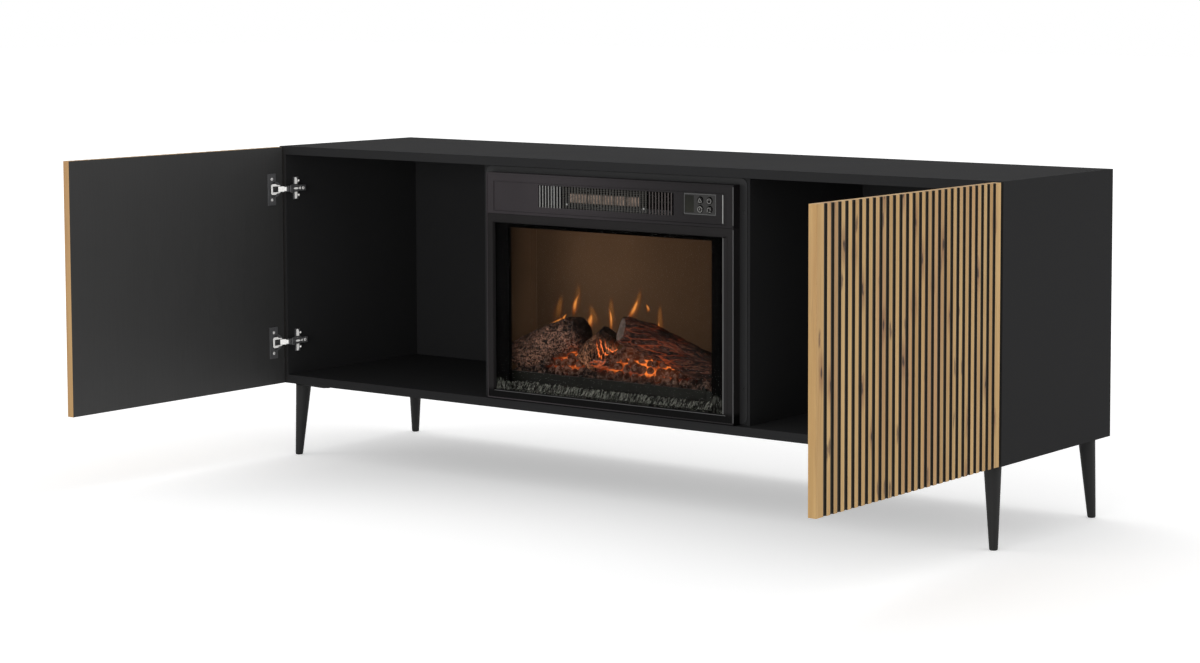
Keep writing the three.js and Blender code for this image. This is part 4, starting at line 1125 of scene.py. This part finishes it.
ring("frame_rim", [
    (*grown(*FRAME_FACE, -3.2), 1.2, -4.7),
    (*grown(*FRAME_FACE, -1.0), 2.0, -4.5),
    (*grown(*FRAME_FACE, -0.1), 2.4, -3.2),
    (*grown(*FRAME_FACE, -3.2), 1.2, -3.6),
], FASCIA_BLACK, "cabinet", "insert_plastic", steps_per_corner=4)
INSET = ((-291.0, 404.3), (291.0, 465.0))
ring("inset_bead", [
    (*grown(*INSET, 0.1), 0.6, -4.3),
    (*grown(*INSET, 1.3), 0.8, -4.3),
    (*grown(*INSET, 1.3), 0.8, -3.9),
    (*grown(*INSET, -0.9), 0.4, -2.4),
], FASCIA_BLACK, "cabinet", "insert_plastic")
# Painted highlight: a pale strip at the inset's right end
prism("inset_end_highlight", [(283.6, -4.2), (285.6, -4.2), (285.6, -2.4), (283.6, -2.6)], "z", 407.0, 462.0,
      BEAD_HIGHLIGHT_AND_SCREW_GREY, "cabinet", "insert_metal", bevel=0.25)
ring("chamber_lining", [
    ((-304.9, 25.2), (304.9, 398.2), 0.1, 18.6),
    ((-304.9, 25.2), (304.9, 398.2), 0.1, 127.8),
    ((-288.0, 26.2), (288.0, 397.2), 0.1, 127.8),
    ((-288.0, 26.2), (288.0, 397.2), 0.1, 127.3),
    ((-304.2, 25.9), (304.2, 397.5), 0.1, 127.3),
    ((-304.2, 25.9), (304.2, 397.5), 0.1, 18.6),
], LINING, "cabinet", "sheet_steel")


def fins(name, start, width, count, material):
    """Upright fins: each is a thin bar with a rounded front, set at equal steps across the band."""
    pitch = width / count
    points, faces = [], []
    section = np.array([(-0.18, -1.6), (-0.18, -2.3), (-0.10, -2.6),
                        (0.10, -2.6), (0.18, -2.3), (0.18, -1.6)])
    for i in range(count):
        x = start + (i + 0.5) * pitch
        for z in FIN_LEVELS:
            points.append(np.column_stack([x + section[:, 0] * pitch, section[:, 1], np.full(6, z)]))
        faces += capped(2, 6, start=12 * i)
    as_object(name, np.concatenate(points), faces, material, "cabinet", "insert_metal")


# Painted light and shade: the two fin rows share one shape, the left in a bright copy and the right in a dim
# copy
fins("bright_fin_row", -174.0, 59.6, 8, FIN_BRIGHT)
fins("dim_fin_row", 103.0, 61.0, 8, FIN_DIM)


def diamond_mesh():
    """Expanded mesh: wires run from row to row in zigzags, x = x0 + pitch * (i + wave(z)),
    with square section."""
    (x0, z0), (x1, z1) = MESH_BAND
    z = np.linspace(z0, z1, MESH_ROWS)
    count = int((x1 - x0) / MESH_PITCH)
    points, faces = [], []
    corner = np.array([(-MESH_WIRE, -0.5), (MESH_WIRE, -0.5), (MESH_WIRE, 0.5), (-MESH_WIRE, 0.5)])
    for i in range(count + 1):
        for phase in (0, 1):
            swing = np.where((np.arange(MESH_ROWS) + phase) % 2 == 0, 0.0, 0.5) * MESH_PITCH
            x = np.clip(x0 + i * MESH_PITCH + swing, x0, x1)
            loop = np.stack([
                x[:, None] + corner[:, 0], np.full((MESH_ROWS, 4), -0.6) + corner[:, 1],
                np.repeat(z[:, None], 4, 1)
            ], axis=2)
            faces += capped(MESH_ROWS, 4, start=len(points) * MESH_ROWS * 4)
            points.append(loop.reshape(-1, 3))
    as_object("diamond_mesh", np.concatenate(points), faces, MESH_GREY, "cabinet", "insert_metal",
              replaces=("heater_grille",))


diamond_mesh()
for x, z, mark in ((-101.6, 425.5, "left"), (91.6, 426.0, "right")):
    screw(f"mesh_screw_{mark}", (x, -1.2, z), (0.0, -1.0, 0.0), 2.0, BEAD_HIGHLIGHT_AND_SCREW_GREY, "cabinet", "insert_metal")


def element_fins():
    """Crimped heating strip: a narrow sheet folded along X, y = a sawtooth, with pale folded edges."""
    count = 47
    x = np.linspace(-113.0, 60.0, count)
    y = 24.5 + 5.0 * (np.arange(count) % 2)
    z = np.array([426.5, 428.0, 443.5, 445.0])
    grid = np.stack([
        np.repeat(x[:, None], 4, 1), y[:, None] + np.array([0.0, -0.6, -0.6, 0.0]),
        np.repeat(z[None], count, 0)
    ], axis=2)
    piece = as_object("crimped_strip", grid.reshape(-1, 3), quads(count, 4), ELEMENT, "cabinet",
                      "heater_element", sharp=20.0, closed=False)
    wall = piece.modifiers.new("wall", "SOLIDIFY")
    wall.thickness = 0.0004


element_fins()

PANEL = ((189.0, 420.0), (268.0, 463.0))
ring("panel_border", [
    (*grown(*PANEL, -1.6), 1.5, -1.4),
    (*grown(*PANEL, -1.6), 1.5, -1.95),
    (*grown(*PANEL, -2.6), 1.5, -1.95),
    (*grown(*PANEL, -2.6), 1.5, -1.4),
], LINE_AND_HIGHLIGHT_GREY, "cabinet", "panel_plastic", steps_per_corner=4)


def icon(name, centre, strokes, body):
    """A generic symbol in thin raised strokes: each stroke is a ribbon along a list of points."""
    points, faces = [], []
    for stroke in strokes:
        path = np.asarray(stroke, float)
        tangent = np.gradient(path, axis=0)
        tangent /= np.linalg.norm(tangent, axis=1, keepdims=True) + 1e-9
        sideways = np.column_stack([-tangent[:, 1], tangent[:, 0]]) * 0.62
        start = sum(len(part) for part in points)
        rows = []
        for offset, y in ((1, -3.05), (-1, -3.05), (-1, -2.9), (1, -2.9)):
            flat = path + offset * sideways
            rows.append(np.column_stack([centre[0] + flat[:, 0], np.full(len(path), y),
                                         centre[1] + flat[:, 1]]))
        points.append(np.stack(rows, axis=1).reshape(-1, 3))
        faces += capped(len(path), 4, start=start)
    as_object(name, np.concatenate(points), faces, ICON_GREY, body, "panel_plastic")


def arc(radius, start, stop):
    """Points along a circle's arc: radius times cos and sin of the angle."""
    angle = np.radians(np.linspace(start, stop, ARC_POINTS))
    return np.column_stack([radius * np.cos(angle), radius * np.sin(angle)])


def button(index, centre, strokes):
    """A round key with a shallow dished top: height falls to the middle as radius squared."""
    body = f"button_{index}_body"
    radius = np.array([0.0, 2.0, 4.2, 5.6, 6.2, 6.5, 6.6, 6.6])
    y = np.array([-2.88, -2.89, -2.92, -2.97, -3.0, -2.92, -2.7, 2.4])
    angle = np.linspace(0, 2 * math.pi, 36, endpoint=False)
    across, up = radius[:, None] * np.cos(angle), radius[:, None] * np.sin(angle)
    grid = np.stack([centre[0] + across, np.repeat(y[:, None], 36, 1), centre[1] + up], axis=2)
    faces = [list(face) for face in quads(8, 36, wrap_columns=True)]
    faces.append(list(range(7 * 36, 8 * 36)))
    as_object(f"key_{index}", grid.reshape(-1, 3), faces, KEY_BLACK, body, "panel_plastic",
              replaces=(f"button_{index}",))
    icon(f"key_{index}_symbol", centre, strokes, body)


FLAME_STROKE = np.array([(-3.0, -4.0), (-3.8, -1.0), (-2.0, 1.8), (-1.2, 4.6),
                         (1.2, 2.4), (1.6, 0.6), (3.8, -1.2), (3.0, -4.0)])
button(1, (229.2, 448.6), [FLAME_STROKE, np.array([(-0.8, -4.2), (0.0, -1.4), (1.0, -4.2)])])
button(2, (251.2, 448.6), [arc(4.6, 125, 415), np.array([(0.0, 1.2), (0.0, 3.4), (0.0, 5.4)])])
button(3, (229.2, 431.6), [arc(5.2, 0, 350), np.array([(0.0, 3.0), (0.0, 0.0), (-2.2, -1.2)])])
button(4, (251.2, 431.6), [np.array([(-4.2, -4.2), (-4.2, 1.8), (-2.0, 3.8), (4.0, 3.8)]),
                           np.array([(1.0, 0.4), (3.6, 0.4), (4.4, 0.4)]),
                           np.array([(-1.0, -4.2), (1.4, -4.2), (3.6, -4.2)])])


# Fire: logs, coals, ash, flames


def log_surface(name, path, radii, seed, material, replaces, ridge, soot,
                knots=(), grain=(0.35, 1.0, 1.0), cut=None):
    """A log: radius(s, a) = profile(s) + ripples + bark ridges |sin|,
    swept round its centre line, ends drawn in.
    Points past the cut plane slide back along the log onto it; soot grows from 0 to 1 over a range of s."""
    path = np.asarray(path, float)
    stations, spokes = 190, 140
    s = np.linspace(0, 1, stations)
    keys = np.linspace(0, 1, len(path))
    centre = np.column_stack([np.interp(s, keys, path[:, k]) for k in range(3)])
    centre += np.column_stack([np.zeros(stations), np.zeros(stations), 1.8 * np.sin(s * 9 + seed)])
    axis = path[-1] - path[0]
    length = np.linalg.norm(axis)
    axis /= length
    side = np.array([0.0, 1.0, 0.0]) - axis * axis[1]
    side /= np.linalg.norm(side)
    other = np.cross(axis, side)
    angle = np.linspace(0, 2 * math.pi, spokes, endpoint=False)
    radius = np.interp(s, np.linspace(0, 1, len(radii)), radii)
    ends = np.clip(np.minimum(s, 1 - s) / 0.03, 0, 1) ** 0.5
    grid_s, grid_a = np.meshgrid(s, angle, indexing="ij")
    flat = np.stack([grid_s * length, 30 * np.cos(grid_a), 30 * np.sin(grid_a)], axis=2)
    broad = ripple(flat, 46.0, 12, seed) * 1.5
    bark = np.abs(ripple(flat * np.array(grain), 9.0, 16, seed + 1))
    fine = np.abs(ripple(flat * np.array(grain), 4.2, 16, seed + 2))
    bumps = broad + ridge * (1.0 - np.clip(bark, 0, 1.6)) + 0.55 * ridge * (0.6 - np.clip(fine, 0, 1.3))
    for share, turn, height, width in knots:
        gap = np.sqrt(((grid_s - share) * length) ** 2 + (30 * np.angle(np.exp(1j * (grid_a - turn)))) ** 2)
        bumps += height * np.exp(-((gap / width) ** 2)) - 1.3 * height * np.exp(-((gap / (0.5 * width)) ** 2))
    full = (radius[:, None] + bumps) * (0.35 + 0.65 * ends[:, None])
    spoke = np.cos(grid_a)[..., None] * side + np.sin(grid_a)[..., None] * other
    grid = centre[:, None, :] + full[..., None] * spoke
    past = np.zeros(grid.shape[:2])
    if cut is not None:
        through, normal = np.asarray(cut[0], float), np.asarray(cut[1], float) / np.linalg.norm(cut[1])
        over = np.clip((grid - through) @ normal, 0.0, None)
        grid = grid - (over / (axis @ normal))[..., None] * axis
        past = np.clip(over / 1.0, 0, 1)
    piece = as_object(name, grid.reshape(-1, 3), capped(stations, spokes), material, "cabinet", "log_resin",
                      replaces=replaces, sharp=70.0, closed=False)
    keep(piece, "cut", past)
    keep(piece, "soot", np.clip((grid_s - soot[0]) / (soot[1] - soot[0]), 0, 1) * 0.93)


log_surface("left_bark_log", [(-292, 72, 99), (-232, 72, 122), (-172, 72, 146), (-116, 72, 168)],
            [31, 34, 35, 33, 33, 32, 25], 3, BARK_LEFT, ("left_log",), ridge=1.9, grain=(0.8, 1.0, 1.0),
            knots=((0.62, 3.5, 5.0, 15), (0.40, 2.9, 3.0, 9)), soot=(0.84, 1.0))
log_surface("right_split_log", [(-27, 72, 178), (58, 72, 154), (140, 72, 130), (232, 72, 102)],
            [24, 28, 30, 29, 30, 29, 25], 11, BARK_RIGHT, ("right_log",), ridge=2.1, grain=(0.16, 1.0, 1.0),
            cut=((-11.0, 56.0, 168.0), (-0.55, -0.80, 0.25)), soot=(1.0, 1.6))
log_surface("centre_stump", [(-98, 60, 98), (-82, 66, 120), (-66, 74, 142), (-50, 80, 163)],
            [27, 27, 26, 25, 21], 23, BARK_CENTRE, ("centre_log",), ridge=2.0, grain=(0.2, 1.0, 1.0),
            soot=(0.72, 0.88))
log_surface("ember_chip", [(-86, 47, 99), (-66, 44, 104), (-48, 45, 106), (-30, 48, 104)],
            [6, 8, 9, 8, 6], 31,
            BARK_CHIP, (), ridge=0.9, soot=(1.0, 1.2))


def crown(x):
    """How high the bed stands along its width: the root of half a sine wave,
    0 at both ends and 1 in the middle."""
    return np.sqrt(np.clip(np.sin(np.pi * (x + BED_HALF_WIDTH) / (2 * BED_HALF_WIDTH)), 0, 1))


# Rows of coals from the front up: height, depth, radius and spacing
COAL_ROWS = [(69, 50, 9.5, 18.5), (82, 54, 10.5, 19.5), (96, 60, 11.0, 20.0),
             (108, 68, 10.0, 20.0), (117, 78, 9.0, 19.0)]
# Lumps of the bed's crest: x, y, z and radius
COAL_CREST = [(-20, 82, 127, 11), (-5, 84, 131, 12), (12, 84, 130, 12), (29, 82, 125, 11), (3, 71, 121, 10),
              (20, 71, 119, 10), (-14, 71, 118, 10)]


def coals():
    """Coals: lumpy balls on the bed's front slope, radius = base + ripples;
    each vertex keeps how deep it lies."""
    rng = np.random.default_rng(5)
    rows = []
    for row, (z, y, size, step) in enumerate(COAL_ROWS):
        x = np.arange(-270 + 7 * row, 272, step)
        lift = (12 * crown(x) - 6) * (row / 3.0) - 3
        rows.append(np.column_stack([
            x + rng.uniform(-4, 4, len(x)), y + rng.uniform(-3, 3, len(x)),
            z + lift + rng.uniform(-3, 3, len(x)),
            size * rng.uniform(0.75, 1.2, len(x)),
        ]))
    rows.append(np.array(COAL_CREST, float))
    seeds = np.concatenate(rows)
    tall, round_ = 19, 26
    polar = np.linspace(0, math.pi, tall)
    turn = np.linspace(0, 2 * math.pi, round_, endpoint=False)
    p, t = np.meshgrid(polar, turn, indexing="ij")
    ball = np.stack([np.sin(p) * np.cos(t), np.sin(p) * np.sin(t), np.cos(p)], axis=2)
    points = seeds[:, None, None, :3] + ball[None] * seeds[:, None, None, 3:4] * np.array([0.86, 1.0, 0.98])
    lump = ripple(points, 16.0, 10, 41) * 0.8 + ripple(points, 7.0, 10, 42) * 0.35
    points = points + ball[None] * lump[..., None]
    middle = seeds[:, None, None, :3]
    low = np.clip((middle[..., 2] - points[..., 2]) / seeds[:, None, None, 3] + 0.1, 0, 1)
    behind = np.clip((points[..., 1] - middle[..., 1]) / seeds[:, None, None, 3] + 0.15, 0, 1)
    depth = np.clip(0.75 * low + 0.5 * behind, 0, 1) ** 1.6
    each = tall * round_
    faces = np.concatenate([quads(tall, round_, wrap_columns=True, start=k * each)
                            for k in range(len(seeds))])
    piece = as_object("coal_heap", points.reshape(-1, 3), faces, COAL, "cabinet", "ember_resin",
                      sharp=80.0, closed=False)
    keep(piece, "depth", depth)


coals()


def bed():
    """Bed under the coals: height rises from front to back and to the middle, with ripples."""
    gx, gy = np.meshgrid(np.linspace(-293, 293, 160), np.linspace(40, 101, 24), indexing="ij")
    z = 62 + (14 + 46 * crown(gx)) * np.clip((gy - 40) / 42, 0, 1) ** 0.8
    flat = np.stack([gx, gy, z], axis=2)
    z = z + 1.8 * ripple(flat, 16.0, 12, 51) + 0.8 * ripple(flat, 6.0, 12, 52)
    points, faces = skirted(np.stack([gx, gy, z], axis=2), 26.0)
    piece = as_object("ember_slope", points, faces, COAL, "cabinet", "ember_resin", replaces=("ember_bed",),
                      sharp=80.0, closed=False)
    depth = 0.9 * np.clip((gy.ravel() - 50.0) / 10.0, 0, 1)
    keep(piece, "depth", np.concatenate([depth, np.full(len(depth), 0.4)]))


bed()


def ash():
    """Crushed ash: a sloped strip whose height has grains, z = slope(y) + |ripples| at two sizes."""
    gx, gy = np.meshgrid(np.linspace(-299, 299, 560), np.linspace(18.6, 31.8, 22), indexing="ij")
    z = 36.0 + 15.0 * np.clip((gy - 18.6) / 10.5, 0, 1) ** 0.9
    flat = np.stack([gx, gy, z], axis=2)
    lift = 1.8 * np.abs(ripple(flat, 8.0, 14, 61)) + 1.0 * np.abs(ripple(flat, 3.5, 14, 62))
    points, faces = skirted(np.stack([gx, gy, np.minimum(z + lift, 56.0)], axis=2), 25.5)
    as_object("ash_grit", points, faces, GRIT, "cabinet", "ash", replaces=("ash_strip",), sharp=80.0)


ash()
prism("grate_rail", [(33.6, 54.0), (39.0, 54.0), (39.0, 72.4), (38.0, 74.0), (33.6, 74.0)],
      "x", -286.0, 286.0,
      RAIL_BLACK, "cabinet", "insert_metal", bevel=0.4, replaces=("grate_bar",))
for x, mark in ((-96.0, "left"), (76.0, "middle"), (214.0, "right")):
    prism(f"grate_lug_{mark}", [(33.0, 56.0), (38.0, 56.0), (38.0, 78.0), (33.0, 78.0)],
          "x", x - 4.0, x + 4.0,
          RAIL_BLACK, "cabinet", "insert_metal", bevel=0.4)


def flame(name, foot, height, width, lean, seed, material):
    """One flame: a curved sheet that swells then closes,
    w(t) = 1.45 width sin(pi (0.9 t + 0.08))^0.8 (1 - 0.45 t)."""
    t = np.linspace(0.0, 1.0, 24)
    u = np.linspace(-1.0, 1.0, 9)
    gt, gu = np.meshgrid(t, u, indexing="ij")
    sway = lean * gt**1.4 + 2.5 * np.sin(gt * 5 + seed)
    spread = 1.45 * width * (np.sin(np.pi * np.clip(gt * 0.9 + 0.08, 0, 1)) ** 0.8) * (1 - 0.45 * gt)
    grid = np.stack([
        foot[0] + sway + gu * spread * 0.5, foot[1] + 1.5 * (1 - gu**2), foot[2] + gt * height
    ], axis=2)
    uv = np.stack([gu * 0.5 + 0.5, gt], axis=2).reshape(-1, 2)
    as_object(name, grid.reshape(-1, 3), quads(24, 9), material, "cabinet", "flame_screen",
              uv=uv, closed=False)


FLAMES = [
    ("flame_left", (-190, 122, 180), 52, 17, 21, 1), ("flame_low_left", (-250, 122, 148), 32, 26, 38, 2),
    ("flame_stub", (-142, 122, 156), 38, 24, 0, 3), ("flame_middle", (-84, 122, 148), 60, 12, -12, 4),
    ("flame_tall_right", (-42, 122, 182), 50, 19, 25, 5), ("flame_spark", (5, 122, 202), 20, 11, 0, 6),
    ("flame_faint", (36, 122, 146), 46, 9, 0, 7), ("flame_small_left", (-214, 122, 166), 22, 12, 10, 8),
]
HAZE = [
    ("haze_left", (-232, 125, 150), 84, 34, 12, 3), ("haze_high_left", (-186, 125, 170), 92, 30, 12, 5),
    ("haze_stub", (-136, 125, 150), 66, 44, -6, 6), ("haze_middle", (-84, 125, 148), 88, 34, -8, 2),
    ("haze_tall_right", (-36, 125, 166), 92, 36, 22, 4), ("haze_right", (34, 125, 142), 88, 28, 4, 1),
]
for sheets, material in ((FLAMES, FLAME), (HAZE, FLAME_HAZE)):
    for sheet in sheets:
        flame(*sheet, material)


# Room


def floor():
    """A wide white floor that keeps the shadow."""
    mesh = bpy.data.meshes.new("floor")
    reach = FLOOR_REACH
    corners = [(-reach, -reach, 0), (reach, -reach, 0), (reach, reach, 0), (-reach, reach, 0)]
    mesh.from_pydata(corners, [], [(0, 1, 2, 3)])
    material, tree, shader, where = finish_base("white_floor", 0.0, 0.9, 0.0)
    shader.inputs["Base Color"].default_value = (0.93, 0.93, 0.93, 1)
    rays = node(tree, "LightPath").outputs
    seen = sums(tree, "MAXIMUM", rays["Is Camera Ray"], rays["Is Glossy Ray"])
    seen = sums(tree, "MAXIMUM", seen, rays["Is Transmission Ray"])
    # Painted light: seen from the camera the floor also gives off light, 0.34 near the cabinet rising to 0.62
    # far off
    away = node(tree, "VectorMath", {0: where["Object"], 1: (0.0, -0.6, 0.0)}, operation="DISTANCE")
    far = steps(tree, away.outputs["Value"], 1.5, 4.0, 0.34, 0.62)
    glow = node(tree, "Emission", {"Color": (1, 1, 1, 1), "Strength": sums(tree, "MULTIPLY", seen, far)})
    both = node(tree, "AddShader", {0: shader.outputs[0], 1: glow.outputs[0]})
    tree.links.new(both.outputs[0], tree.nodes["Material Output"].inputs["Surface"])
    mesh.materials.append(material)
    plane = bpy.data.objects.new("floor", mesh)
    bpy.context.scene.collection.objects.link(plane)


floor()


def world():
    """White surroundings: full white where seen, softer where they light the object."""
    made = bpy.data.worlds.new("studio")
    made.use_nodes = True
    tree = made.node_tree
    rays = node(tree, "LightPath").outputs
    seen = sums(tree, "MAXIMUM", rays["Is Camera Ray"], rays["Is Transmission Ray"])
    strength = sums(tree, "MULTIPLY_ADD", seen, 0.38, 0.62)
    background = tree.nodes["Background"]
    background.inputs["Color"].default_value = (1, 1, 1, 1)
    tree.links.new(strength, background.inputs["Strength"])
    bpy.context.scene.world = made


world()


def lamp(name, location, target, size, power):
    """A soft rectangular lamp: its back axis points from the target to the lamp, its side axis lies level."""
    data = bpy.data.lights.new(name, "AREA")
    data.shape = "RECTANGLE"
    data.size, data.size_y = size
    data.energy = power
    made = bpy.data.objects.new(name, data)
    back = np.asarray(location, float) - np.asarray(target, float)
    back /= np.linalg.norm(back)
    side = np.cross([0.0, 1.0, 0.0] if abs(back[2]) > 0.95 else [0.0, 0.0, 1.0], back)
    side /= np.linalg.norm(side)
    up = np.cross(back, side)
    matrix = np.eye(4)
    matrix[:3, 0], matrix[:3, 1], matrix[:3, 2], matrix[:3, 3] = side, up, back, location
    made.matrix_world = Matrix(matrix.tolist())
    bpy.context.scene.collection.objects.link(made)


lamp("overhead", location=(-0.3, 0.95, 3.2), target=(0.0, 0.1, 0.3), size=(2.5, 1.7), power=21.2)
lamp("left_window", location=(-3.4, -2.2, 1.8), target=(0.0, 0.0, 0.4), size=(1.6, 1.8), power=16.0)
lamp("front_fill", location=(1.2, -4.6, 1.0), target=(0.0, 0.2, 0.4), size=(2.4, 1.4), power=54.0)
lamp("right_window", location=(3.4, 0.8, 1.0), target=(0.9, 0.2, 0.4), size=(1.6, 1.6), power=11.0)

bpy.context.scene.view_settings.view_transform = "Standard"
